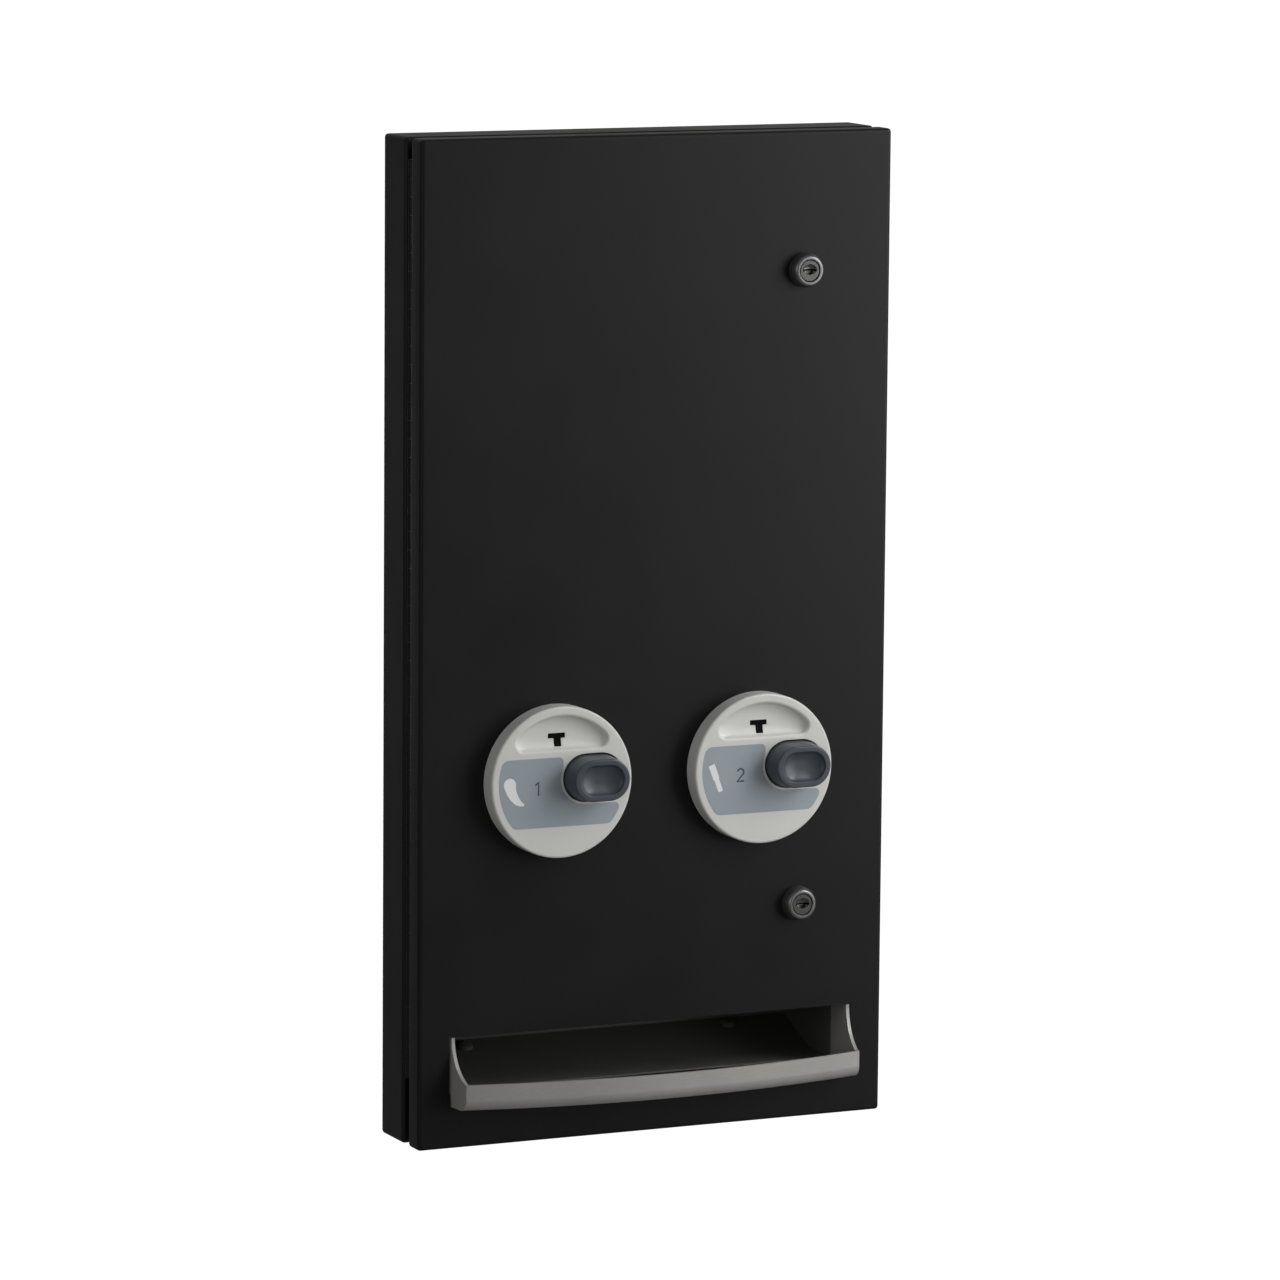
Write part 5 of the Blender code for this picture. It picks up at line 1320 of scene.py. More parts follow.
@dataclass
class Dial:
    """One round off-white housing with its scooped recess, inlaid label, symbol, numeral and slot."""

    word: str
    numeral: int
    edge: float = 1.6 * MILLIMETRE
    edge_steps: int = 8
    front_wall: float = 3.0 * MILLIMETRE
    side_wall: float = 3.0 * MILLIMETRE
    sides: int = 144
    back_gap: float = 0.3 * MILLIMETRE
    scoop_rim: float = 6.9 * MILLIMETRE
    scoop_floor: float = 22.8 * MILLIMETRE
    scoop_corner: float = 5.4 * MILLIMETRE
    scoop_outline_steps: tuple[int, int, int] = (44, 12, 16)
    scoop_backing: float = 2.5 * MILLIMETRE
    scoop_deepest_share: float = 0.36
    hollow: Hollow = Hollow(2.3 * MILLIMETRE, 6.0 * MILLIMETRE, (0.38, 0.22), 9, 18)
    slot_offset: float = -1.8 * MILLIMETRE
    slot_top: float = 33.2 * MILLIMETRE
    slot_bar: Point = (12.9 * MILLIMETRE, 3.6 * MILLIMETRE)
    slot_stem: Point = (5.6 * MILLIMETRE, 5.6 * MILLIMETRE)
    slot_stem_shift: float = 0.6 * MILLIMETRE
    slot_corner: float = 0.45 * MILLIMETRE
    slot_corner_steps: int = 3
    blank_edge: float = 0.3 * MILLIMETRE
    plug_play: float = 0.05 * MILLIMETRE
    plug_sink: float = 0.7 * MILLIMETRE
    sleeve_wall: float = 2.4 * MILLIMETRE
    hole_play: float = 0.85 * MILLIMETRE
    hole_rounding: float = 0.35 * MILLIMETRE
    hole_steps: int = 4
    end_steps: int = 24
    label_radius: float = 46.8 * MILLIMETRE
    label_top: float = 17.4 * MILLIMETRE
    label_bottom: float = -30.3 * MILLIMETRE
    label_thickness: float = 0.6 * MILLIMETRE
    label_corner: float = 3.4 * MILLIMETRE
    label_rim_corner: float = 6.0 * MILLIMETRE
    label_corner_steps: int = 8
    label_rim_corner_steps: int = 10
    label_rim_steps: int = 40
    label_ring_steps: int = 36
    inlay_play: float = 0.02 * MILLIMETRE
    label_edge: float = 0.9 * MILLIMETRE
    label_ring: Point = (24.1 * MILLIMETRE, 18.0 * MILLIMETRE)
    line_depth: float = 0.3 * MILLIMETRE
    numeral_place: Point = (-17.8 * MILLIMETRE, -3.3 * MILLIMETRE)
    numeral_height: float = 9.4 * MILLIMETRE
    numeral_stroke: float = 1.25 * MILLIMETRE
    ink_proud: float = 0.03 * MILLIMETRE
    ink_depth: float = 0.1 * MILLIMETRE

    def __post_init__(self) -> None:
        """Reads the housing's and the button's places from the frame."""
        housing = Box.of(self.node("dial_housing"))
        button = Box.of(self.node("button"))
        self.centre = (housing.centre.x, housing.centre.z)
        self.radius = housing.size.x / 2
        self.face = housing.low.y
        self.rear = housing.high.y
        self.door_front = Box.of("door_panel").low.y
        self.back = self.door_front - self.back_gap
        self.button_centre = (button.centre.x, button.centre.z)
        self.button_half = (button.size.x / 2, button.size.z / 2)
        self.label_back = self.face + self.label_thickness
        self.picture = PICTURES[self.word]

    def node(self, word: str) -> str:
        """The name of one of this dial's nodes."""
        return f"{self.word}_{word}"

    def build(self, bench: Workbench) -> None:
        """Makes the housing, the label, its symbol and numeral, and the dark blank behind the slot."""
        bench.stand_in(self.housing(), self.node("dial_housing"), Slot.DIAL_PLASTIC)
        outlines = [self.label_outline(0), self.moved(self.picture.outline(self.inlay_play))]
        label = plate(outlines, Facing.FRONT, self.face, self.label_back)
        bench.stand_in(solid(label), self.node("dial_label"), Slot.LABEL_FILM)
        bench.stand_in(self.symbol(), self.node("symbol"), Slot.SYMBOL_FILM)
        bench.add_on(self.figure(), self.node("numeral"), self.node("dial_label"), Slot.BUTTON_PLASTIC)
        blank = softened(copied(self.node("slot_blank")), self.blank_edge)
        fused(blank, Fusing.JOIN, [self.slot_plug()])
        bench.stand_in(blank, self.node("slot_blank"), Slot.BLANK_PLASTIC)

    def slot_plug(self) -> Skin:
        """The blank's T-shaped boss, which fills the slot to just under the recess's surface."""
        back = Box.of(self.node("slot_blank")).centre.y
        boss = solid(plate([self.slot_shape(-self.plug_play)], Facing.FRONT, self.face, back))
        recess = self.scoop()
        bmesh.ops.translate(recess, verts=recess.verts, vec=(0, self.plug_sink, 0))
        return as_tool(fused(boss, Fusing.CUT, [recess]))

    def moved(self, outline: Iterable[Point]) -> list[Point]:
        """An outline drawn about the dial's centre, moved to its place."""
        return [(self.centre[0] + u, self.centre[1] + v) for u, v in outline]

    def scoop_outline(self, grow: float) -> list[Point]:
        """The recess: a circle's segment with a straight lower edge and rounded corners."""
        radius = self.radius - self.scoop_rim + grow
        floor = self.scoop_floor - grow
        corner = self.scoop_corner + grow
        corner_z = floor + corner
        corner_x = math.sqrt((radius - corner) ** 2 - corner_z**2)
        lean = math.degrees(math.atan2(corner_z, corner_x))
        top_steps, corner_steps, floor_steps = self.scoop_outline_steps
        outline = arc((corner_x, corner_z), corner, -90, lean, corner_steps)
        outline += arc((0, 0), radius, lean, 180 - lean, top_steps)[1:-1]
        outline += arc((-corner_x, corner_z), corner, 180 - lean, 270, corner_steps)
        for step in range(1, floor_steps):
            outline.append((corner_x * (2 * step / floor_steps - 1), floor))
        return self.moved(outline)

    def scoop(self) -> Skin:
        """The tool that hollows the recess: a rounded rim, then a smooth hollow."""
        top = self.radius - self.scoop_rim
        deepest = self.scoop_floor + (top - self.scoop_floor) * self.scoop_deepest_share
        middle = (self.centre[0], self.centre[1] + deepest)
        outside = at_depth(self.scoop_outline(self.hollow.rounding), self.face - CUT_OVERRUN)
        return loft([outside] + self.hollow.rings(self.scoop_outline, middle, self.face))

    def button_outline(self, grow: float) -> list[Point]:
        """An outline that lies so far outside the button's base."""
        half_width, half_height = self.button_half
        return obround(self.button_centre, half_width + grow, half_height + grow, self.end_steps)

    def button_hole(self) -> Skin:
        """The tool that bores the button's hole, with a rounded mouth."""
        play, mouth = self.hole_play, self.hole_rounding
        rings = [at_depth(self.button_outline(play + mouth), self.face - CUT_OVERRUN)]
        for cosine, sine in quarter(self.hole_steps):
            section = self.button_outline(play + mouth * (1 - sine))
            rings.append(at_depth(section, self.face + mouth * (1 - cosine)))
        rings.append(at_depth(self.button_outline(play), self.rear + CUT_OVERRUN))
        return loft(rings)

    def slot_shape(self, grow: float = 0.0) -> list[Point]:
        """The T-shaped slot, with its bar over its stem."""
        top = self.slot_top + grow
        under = self.slot_top - self.slot_bar[1] - grow
        foot = under - self.slot_stem[1]
        bar, stem = self.slot_bar[0] / 2 + grow, self.slot_stem[0] / 2 + grow
        shift = self.slot_stem_shift
        corners = [(shift + stem, foot), (shift + stem, under), (bar, under), (bar, top)]
        corners += [(-bar, top), (-bar, under), (shift - stem, under), (shift - stem, foot)]
        placed = [(self.slot_offset + u, v) for u, v in corners]
        return self.moved(fillet(placed, self.slot_corner, self.slot_corner_steps))

    def label_outline(self, grow: float) -> list[Point]:
        """The label fills the disc's lower part and steps round the button's ring."""
        radius = self.label_radius + grow
        top, bottom = self.label_top + grow, self.label_bottom - grow
        ring_half_width, ring_half_height = self.label_ring
        half_height = ring_half_height - grow
        ring_x = self.button_centre[0] - self.centre[0] - (ring_half_width - ring_half_height)
        ring_z = self.button_centre[1] - self.centre[1]
        edge = self.label_edge + grow
        right_top = math.degrees(math.asin((ring_z - half_height) / radius))
        meet = math.degrees(math.acos((edge - ring_x) / half_height))
        corner = self.label_rim_corner + grow
        low, high = bottom + corner, top - corner
        low_x, high_x = (math.sqrt((radius - corner) ** 2 - level**2) for level in (low, high))
        low_lean, high_lean = (math.degrees(math.asin(level / (radius - corner))) for level in (low, high))
        steps = self.label_rim_corner_steps
        outline = [(edge, top)]
        outline += arc((-high_x, high), corner, 90, 180 - high_lean, steps)
        outline += arc((0, 0), radius, 180 - high_lean, 180 - low_lean, self.label_rim_steps)[1:]
        outline += arc((-low_x, low), corner, 180 - low_lean, 270, steps)[1:]
        outline += arc((low_x, low), corner, 270, 360 + low_lean, steps)
        outline += arc((0, 0), radius, low_lean, right_top, steps)[1:]
        outline += arc((ring_x, ring_z), half_height, 270, meet, self.label_ring_steps)
        return self.moved(fillet(outline, self.label_corner + grow, self.label_corner_steps))

    def symbol(self) -> Piece:
        """The white picture, flush with the label, with its fine lines cut into it."""
        mark = solid(plate([self.moved(self.picture.outline(0))], Facing.FRONT, self.face, self.label_back))
        front, back = self.face - CUT_OVERRUN, self.face + self.line_depth
        lines = [plate([self.moved(line)], Facing.FRONT, front, back) for line in self.picture.lines()]
        return fused(mark, Fusing.CUT, lines)

    def figure(self) -> Piece:
        """The printed numeral, a thin layer of ink on the label."""
        height = self.numeral_height
        u, v = self.numeral_place
        spine = [(u + x * height, v + (y - 0.5) * height) for x, y in NUMERAL_STROKES[self.numeral]]
        outline = self.moved(stroke(spine, self.numeral_stroke))
        front, back = self.face - self.ink_proud, self.face + self.ink_depth
        return solid(plate([outline], Facing.FRONT, front, back))

    def housing(self) -> Piece:
        """The round moulding with its back hollow, sleeve, recess, slot, label pocket and hole."""
        depth = self.back - self.face
        inner = self.radius - self.side_wall
        ceiling = depth - self.front_wall
        profile = [(0, depth)]
        profile += arc((self.radius - self.edge, depth - self.edge), self.edge, 90, 0, self.edge_steps)
        profile += [(self.radius, 0), (inner, 0), (inner, ceiling), (0, ceiling)]
        origin = Vector((self.centre[0], self.back, self.centre[1]))
        body = solid(spun(profile, origin, -REARWARD, self.sides))
        sleeve = self.button_outline(self.hole_play + self.sleeve_wall)
        front, inside = self.face - CUT_OVERRUN, self.face + MILLIMETRE
        backing = self.face + self.hollow.depth + self.scoop_backing
        supports = [
            plate([self.scoop_outline(self.scoop_backing)], Facing.FRONT, inside, backing),
            plate([sleeve], Facing.FRONT, inside, self.rear),
        ]
        fused(body, Fusing.JOIN, supports)
        tools = [
            self.button_hole(),
            self.scoop(),
            plate([self.slot_shape()], Facing.FRONT, front, backing + CUT_OVERRUN),
            plate([self.label_outline(self.inlay_play)], Facing.FRONT, front, self.label_back + FIT_GAP),
        ]
        return fused(body, Fusing.CUT, tools)


@dataclass
class PushButton:
    """One push button with its plunger, clip, spring and bracket."""

    word: str
    front_half: Point = (20.4 * MILLIMETRE, 14.4 * MILLIMETRE)
    edge: float = 1.2 * MILLIMETRE
    edge_steps: int = 8
    base_edge: float = 0.5 * MILLIMETRE
    dish_half: Point = (16.1 * MILLIMETRE, 10.2 * MILLIMETRE)
    dish: Hollow = Hollow(0.7 * MILLIMETRE, 5.2 * MILLIMETRE, (0.16, 0.22), 5, 14)
    pocket_radius: float = 7.5 * MILLIMETRE
    pocket_depth: float = 16.0 * MILLIMETRE
    end_steps: int = 24
    wire_radius: float = 0.6 * MILLIMETRE
    wire_sides: int = 10
    spring_radius: float = 5.4 * MILLIMETRE
    spring_turns: int = 6
    spring_turn_steps: int = 28
    spring_keep: float = 0.71
    plunger_chamfer: float = 0.5 * MILLIMETRE
    plunger_sides: int = 40
    clip_sides: int = 48
    metal_edge: float = 0.2 * MILLIMETRE

    def __post_init__(self) -> None:
        """Reads the button's place from the frame."""
        box = Box.of(self.node("button"))
        self.centre = (box.centre.x, box.centre.z)
        self.base_half = (box.size.x / 2, box.size.z / 2)
        self.front, self.rear = box.low.y, box.high.y
        self.dial_face = Box.of(self.node("dial_housing")).low.y

    def node(self, word: str) -> str:
        """The name of one of this button's nodes."""
        return f"{self.word}_{word}"

    def outline(self, half: Point, grow: float) -> list[Point]:
        """An obround about the button's middle, so far outside its half width and half height."""
        return obround(self.centre, half[0] + grow, half[1] + grow, self.end_steps)

    def button(self) -> Piece:
        """The button in one skin, from the spring pocket over its outside into the finger dish."""
        count = 2 * (self.end_steps + 1)
        pocket = circle(self.centre, self.pocket_radius, count, 180 / count - 90)
        rings = [
            at_depth(pocket, self.rear - self.pocket_depth),
            at_depth(pocket, self.rear),
            at_depth(self.outline(self.base_half, -self.base_edge), self.rear),
            at_depth(self.outline(self.base_half, 0), self.rear - self.base_edge),
            at_depth(self.outline(self.base_half, 0), self.dial_face),
        ]
        for cosine, sine in reversed(quarter(self.edge_steps)):
            section = self.outline(self.front_half, -self.edge * (1 - sine))
            rings.append(at_depth(section, self.front + self.edge * (1 - cosine)))
        rings += self.dish.rings(lambda grow: self.outline(self.dish_half, grow), self.centre, self.front)
        return solid(loft(rings))

    def spring(self) -> Piece:
        """The return spring as one smooth helix."""
        box = Box.of(self.node("spring"))
        start, end = box.low.y + self.wire_radius, box.high.y - self.wire_radius
        steps = self.spring_turns * self.spring_turn_steps
        path = []
        for step in range(steps + 1):
            angle = 2 * math.pi * self.spring_turns * step / steps
            u, v = self.spring_radius * math.cos(angle), self.spring_radius * math.sin(angle)
            depth = start + (end - start) * step / steps
            path.append(Vector((self.centre[0] + u, depth, self.centre[1] + v)))
        return solid(tube(path, self.wire_radius, self.wire_sides))

    def build(self, bench: Workbench) -> None:
        """Makes the button and everything behind it."""
        bench.stand_in(self.button(), self.node("button"), Slot.BUTTON_PLASTIC)
        box = Box.of(self.node("plunger"))
        start, radius = Vector((box.centre.x, box.low.y, box.centre.z)), box.size.x / 2
        sides = self.plunger_sides
        plunger = rod(start, REARWARD, box.size.y, radius, self.plunger_chamfer, sides, both=False)
        bench.stand_in(plunger, self.node("plunger"), Slot.ZINC_STEEL)
        clip = washer(self.node("clip"), self.clip_sides, radius + FIT_GAP, sides, self.metal_edge)
        bench.stand_in(clip, self.node("clip"), Slot.ZINC_STEEL)
        spring = bench.stand_in(self.spring(), self.node("spring"), Slot.SPRING_STEEL)
        anchor = (self.centre[0], Box.of(self.node("spring")).high.y, self.centre[1])
        self.node("button_push")
        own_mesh(spring)
        bench.refine(Slot.ZINC_STEEL, self.metal_edge, self.node("bracket"))


@dataclass
class CamLock:
    """One cam lock: the domed bezel with its barrel, the plug, the nut and the cam."""

    word: str
    base_radius: float = 12.0 * MILLIMETRE
    face_radius: float = 9.0 * MILLIMETRE
    bore_radius: float = 7.7 * MILLIMETRE
    barrel_radius: float = 9.2 * MILLIMETRE
    proud: float = 9.0 * MILLIMETRE
    dome_steps: int = 16
    lip: float = 0.35 * MILLIMETRE
    thread_start: float = 2.0 * MILLIMETRE
    thread_pitch: float = 1.0 * MILLIMETRE
    thread_depth: float = 0.35 * MILLIMETRE
    plug_radius: float = 7.3 * MILLIMETRE
    dimple_half: Point = (5.2 * MILLIMETRE, 3.5 * MILLIMETRE)
    dimple_lift: float = 0.9 * MILLIMETRE
    dimple_depth: float = 1.5 * MILLIMETRE
    dimple_least_share: float = 0.02
    dimple_steps: int = 8
    dimple_sides: int = 48
    keyway: Point = (10.6 * MILLIMETRE, 1.3 * MILLIMETRE)
    keyway_arch: float = 0.5 * MILLIMETRE
    arch_steps: int = 12
    keyway_depth: float = 10.0 * MILLIMETRE
    notch_radius: float = 2.9 * MILLIMETRE
    notch_depth: float = 3.2 * MILLIMETRE
    notch_steps: int = 20
    sides: int = 72
    nut_edge: float = 0.4 * MILLIMETRE
    nut_bore_sides: int = 64
    cam_edge: float = 0.2 * MILLIMETRE
    sharpest: float = 30.0

    def __post_init__(self) -> None:
        """Reads the lock's place from the frame."""
        self.body_box = Box.of(f"{self.word}_lock_body")
        self.door_front = Box.of("door_panel").low.y
        centre = self.body_box.centre
        self.origin = Vector((centre.x, self.door_front, centre.z))

    def build(self, bench: Workbench) -> None:
        """Makes the body, the plug, the nut and the cam."""
        body, plug, nut = (f"{self.word}_lock_{part}" for part in ("body", "plug", "nut"))
        bench.stand_in(self.body(), body, Slot.LOCK_METAL, sharpest=self.sharpest)
        bench.stand_in(self.plug(), plug, Slot.LOCK_METAL, "lock_plug_metal", self.sharpest)
        ring = washer(nut, NUT_SIDES, self.barrel_radius + FIT_GAP, self.nut_bore_sides, self.nut_edge)
        bench.stand_in(ring, nut, Slot.ZINC_STEEL)
        bench.refine(Slot.ZINC_STEEL, self.cam_edge, f"{self.word}_cam")

    def body(self) -> Piece:
        """The bezel's dome and the threaded barrel behind the door."""
        reach = self.body_box.high.y - self.door_front
        profile = [(self.bore_radius, self.proud - self.lip), (self.bore_radius + self.lip, self.proud)]
        for cosine, sine in reversed(quarter(self.dome_steps)):
            bulge = self.face_radius + (self.base_radius - self.face_radius) * cosine
            profile.append((bulge, FIT_GAP + (self.proud - FIT_GAP) * sine))
        profile.append((self.barrel_radius, FIT_GAP))
        height = -self.thread_start
        while height - self.thread_pitch > -reach:
            profile.append((self.barrel_radius, height))
            profile.append((self.barrel_radius - self.thread_depth, height - self.thread_pitch / 2))
            height -= self.thread_pitch
        profile += [(self.barrel_radius, height), (self.barrel_radius, -reach), (self.bore_radius, -reach)]
        return solid(spun(profile, self.origin, -REARWARD, self.sides, closed=True))

    def plug(self) -> Piece:
        """The key plug: a disc with a dimple, an arched keyway through it and a round notch below."""
        box = Box.of(f"{self.word}_lock_plug")
        face, tail = self.door_front - box.low.y, self.door_front - box.high.y
        lip = self.lip
        profile = [(self.plug_radius - lip, face), (self.plug_radius, face - lip), (self.plug_radius, tail)]
        plug = solid(spun(profile, self.origin, -REARWARD, self.sides))
        dimple_centre = self.origin.z + self.dimple_lift
        rings = []
        for cosine, sine in quarter(self.dimple_steps):
            share = max(cosine, self.dimple_least_share)
            half_width, half_height = (half * share for half in self.dimple_half)
            unit = circle((0, 0), 1, self.dimple_sides)
            section = [(self.origin.x + half_width * u, dimple_centre + half_height * v) for u, v in unit]
            rings.append(at_depth(section, box.low.y + self.dimple_depth * sine))
        rings.insert(0, [Vector((point.x, point.y - CUT_OVERRUN, point.z)) for point in rings[0]])
        half_width, half_height = self.keyway[0] / 2, self.keyway[1] / 2
        upper, lower = [], []
        for step in range(self.arch_steps + 1):
            share = 2 * step / self.arch_steps - 1
            lift = self.keyway_arch * (1 - share**2)
            upper.append((self.origin.x - half_width * share, self.origin.z + lift + half_height))
            lower.append((self.origin.x + half_width * share, self.origin.z + lift - half_height))
        notch = arc((self.origin.x, self.origin.z), self.notch_radius, 180, 360, self.notch_steps)
        front = box.low.y - CUT_OVERRUN
        tools = [
            loft(rings),
            plate([notch], Facing.FRONT, front, box.low.y + self.notch_depth),
            plate([upper + lower], Facing.FRONT, front, box.low.y + self.keyway_depth),
        ]
        return fused(plug, Fusing.CUT, tools)


@dataclass
class DeliveryTray:
    """The satin tray: straight behind the door, with two cheeks and a bowed, rolled lip in front of it."""

    taper: float = 2.1 * MILLIMETRE
    end_reach: float = 21.0 * MILLIMETRE
    bow: float = 18.0 * MILLIMETRE
    bend: float = 8.5 * MILLIMETRE
    cheek: float = 2.4 * MILLIMETRE
    sheet: float = 2.0 * MILLIMETRE
    flange: float = 11.0 * MILLIMETRE
    flange_thickness: float = 2.0 * MILLIMETRE
    lip_top_rise: float = 47.8 * MILLIMETRE
    stud_radius: float = 2.4 * MILLIMETRE
    stud_sides: int = 24
    edge: float = 0.65 * MILLIMETRE
    edge_steps: int = 4
    edge_sharpest: float = 40.0
    nut_edge: float = 0.3 * MILLIMETRE
    sharpest: float = 35.0
    bow_steps: int = 64
    cheek_steps: int = 24
    bend_steps: int = 12

    def __post_init__(self) -> None:
        """Reads the tray's place from the frame."""
        tray, door = Box.of("delivery_tray"), Box.of("door_panel")
        nuts = [Box.of(f"tray_nut_{word}") for word in ("left", "right")]
        self.nut_places = [(nut.centre.x, nut.centre.z) for nut in nuts]
        self.half = tray.size.x / 2 - self.flange
        self.top, self.bottom = tray.high.z, tray.low.z
        self.rear = tray.high.y
        self.door_front = door.low.y
        self.lip_top = door.low.z + self.lip_top_rise
        self.flange_front = nuts[0].low.y - FIT_GAP - self.flange_thickness

    def plan(self, inset: float) -> list[Point]:
        """The tray's sides from above, which taper in front of the door."""
        reach = self.end_reach + self.bow + CUT_OVERRUN
        half = self.half - inset
        front_half = half - self.taper * reach / self.end_reach
        right = [(half, self.rear + 2 * CUT_OVERRUN), (half, self.door_front)]
        right.append((front_half, self.door_front - reach))
        return right + [(-x, y) for x, y in reversed(right)]

    def lip_line(self) -> list[Point]:
        """The lip's front from above: an arc, and a straight stretch past each side for the cut."""
        lip_half = self.half - self.taper
        radius = (lip_half**2 + self.bow**2) / (2 * self.bow)
        centre = (0, self.door_front - self.end_reach - self.bow + radius)
        swing = math.degrees(math.asin(self.half / radius))
        bow = arc(centre, radius, 270 - swing, 270 + swing, self.bow_steps)
        past_side = self.half + CUT_OVERRUN
        return [(-past_side, bow[0][1])] + bow + [(past_side, bow[-1][1])]

    def rolled(self, lip: float, inset: float) -> list[Point]:
        """The rolled edge between the lip and the floor, from the side."""
        centre = (lip + self.bend, self.bottom + self.bend)
        return arc(centre, self.bend - inset, 270, 180, self.bend_steps)

    def outside(self, lip: float) -> list[Point]:
        """The outside from the side: a concave cheek edge falls from the top to the lip's top."""
        drop, run_out = self.top - self.lip_top, self.end_reach - self.sheet
        radius = (run_out**2 + drop**2) / (2 * run_out)
        swing = math.degrees(math.asin(drop / radius))
        cheek = arc((self.door_front - radius, self.top), radius, 360 - swing, 360, self.cheek_steps)
        front = self.rolled(lip, 0) + [(lip, self.lip_top)]
        return [(self.rear, self.bottom)] + front + cheek + [(self.rear, self.top)]

    def inside(self, lip: float) -> list[Point]:
        """The hollow from the side, which runs past the tray's top and its open rear."""
        rear, top = self.rear + CUT_OVERRUN, self.top + CUT_OVERRUN
        front = self.rolled(lip, self.sheet) + [(lip + self.sheet, top)]
        return [(rear, self.bottom + self.sheet)] + front + [(rear, top)]

    def block(self, section: Callable[[float], list[Point]], inset: float) -> Piece:
        """A side outline that follows the lip's line, cut to the tray's plan.

        Args:
            section: Gives the side outline for a place of the lip.
            inset: How far the plan's sides are drawn in.

        Returns:
            The block.
        """
        rings = [[Vector((x, y, z)) for y, z in section(lip)] for x, lip in self.lip_line()]
        low, high = self.bottom - CUT_OVERRUN, self.top + 2 * CUT_OVERRUN
        return fused(solid(loft(rings)), Fusing.MEET, [plate([self.plan(inset)], Facing.UP, low, high)])

    def build(self, bench: Workbench) -> None:
        """Makes the tray and its two nuts."""
        tray = self.block(self.outside, 0)
        fused(tray, Fusing.CUT, [as_tool(self.block(self.inside, self.cheek))])
        softened(tray, self.edge, self.edge_steps, self.edge_sharpest)
        flange_low = self.bottom + self.bend
        flange_back = self.flange_front + self.flange_thickness
        for way, place in zip((-1, 1), self.nut_places):
            inner, outer = way * (self.half - MILLIMETRE), way * (self.half + self.flange)
            corners = [(inner, flange_low), (outer, flange_low), (outer, self.top), (inner, self.top)]
            outlines = [corners, circle(place, self.stud_radius, self.stud_sides)]
            fused(tray, Fusing.JOIN, [plate(outlines, Facing.FRONT, self.flange_front, flange_back)])
        bench.stand_in(tray, "delivery_tray", Slot.TRAY_SILVER, sharpest=self.sharpest)
        for node in ("tray_nut_left", "tray_nut_right"):
            nut = washer(node, NUT_SIDES, self.stud_radius, self.stud_sides, self.nut_edge)
            bench.stand_in(nut, node, Slot.ZINC_STEEL)


@dataclass
class CrossScrew:
    """A pan-head or dome-head screw with a cross recess, which stands for one node."""

    node: str
    slot: Slot
    axis: Vector
    head_radius: float = 3.8 * MILLIMETRE
    head_height: float = 2.4 * MILLIMETRE
    shank_radius: float = 2.0 * MILLIMETRE
    cross_half: float = 1.9 * MILLIMETRE
    cross_width: float = 0.85 * MILLIMETRE
    cross_depth: float = 1.3 * MILLIMETRE
    rim_share: float = 0.25
    dome_steps: int = 10
    sides: int = 36
    sharpest: float = 30.0
    finish: str = ""

    def build(self, bench: Workbench) -> None:
        """Makes the screw in its node's place."""
        node = frame["nodes"][self.node]
        along = Vector(self.axis).normalized()
        corners = [vertex.co for vertex in node.data.vertices]
        heights = [corner.dot(along) for corner in corners]
        middle = Box.of(self.node).centre
        top, tail = max(heights), min(heights)
        if along.z:
            # The box of a leaning screw isn't centred on its axis, so its head's corners give the middle.
            head = [corner for corner, height in zip(corners, heights) if height > top - self.head_height / 2]
            middle = sum(head, Vector()) / len(head)
        seat = middle + along * (top - self.head_height - middle.dot(along))
        reach = top - self.head_height - tail
        profile = []
        for cosine, sine in quarter(self.dome_steps):
            rise = self.head_height * (self.rim_share + (1 - self.rim_share) * cosine)
            profile.append((self.head_radius * sine, rise))
        profile += [(self.head_radius, 0), (self.shank_radius, 0), (self.shank_radius, -reach), (0, -reach)]
        screw = solid(spun(profile, seat, along, self.sides))
        turn = along.to_track_quat("Z", "Y").to_matrix().to_4x4()
        low, high = self.head_height - self.cross_depth, self.head_height + CUT_OVERRUN
        half, width = self.cross_half, self.cross_width / 2
        cross = [(half, -width), (half, width), (width, width)]
        cross += [(width, half), (-width, half), (-width, width)]
        cross += [(-u, -v) for u, v in cross]
        recess = plate([cross], Facing.UP, low, high)
        recess.transform(Matrix.Translation(seat) @ turn)
        fused(screw, Fusing.CUT, [recess])
        bench.stand_in(screw, self.node, self.slot, self.finish, self.sharpest)


@dataclass
class Chute:
    """The ramp that the stock slides down, painted darker grey as painted shade for the tray's inside, its
    ledge and its two dome screws.
    """

    angle: float = 22.0
    edge: float = 0.15 * MILLIMETRE

    def build(self, bench: Workbench) -> None:
        """Refines the sheet metal and makes the screws."""
        bench.refine(Slot.RAMP_PAINT_AND_SHADE, self.edge, "chute_ramp")
        bench.refine(Slot.ZINC_STEEL, self.edge, "ramp_ledge")
        lean = math.radians(self.angle)
        axis = Vector((0, -math.sin(lean), math.cos(lean)))
        for word in ("left", "right"):
            screw = CrossScrew(
                f"ramp_screw_{word}",
                Slot.LOCK_METAL,
                axis,
                head_radius=5.8 * MILLIMETRE,
                head_height=3.0 * MILLIMETRE,
                cross_half=2.4 * MILLIMETRE,
                finish="screw_black",
            )
            screw.build(bench)


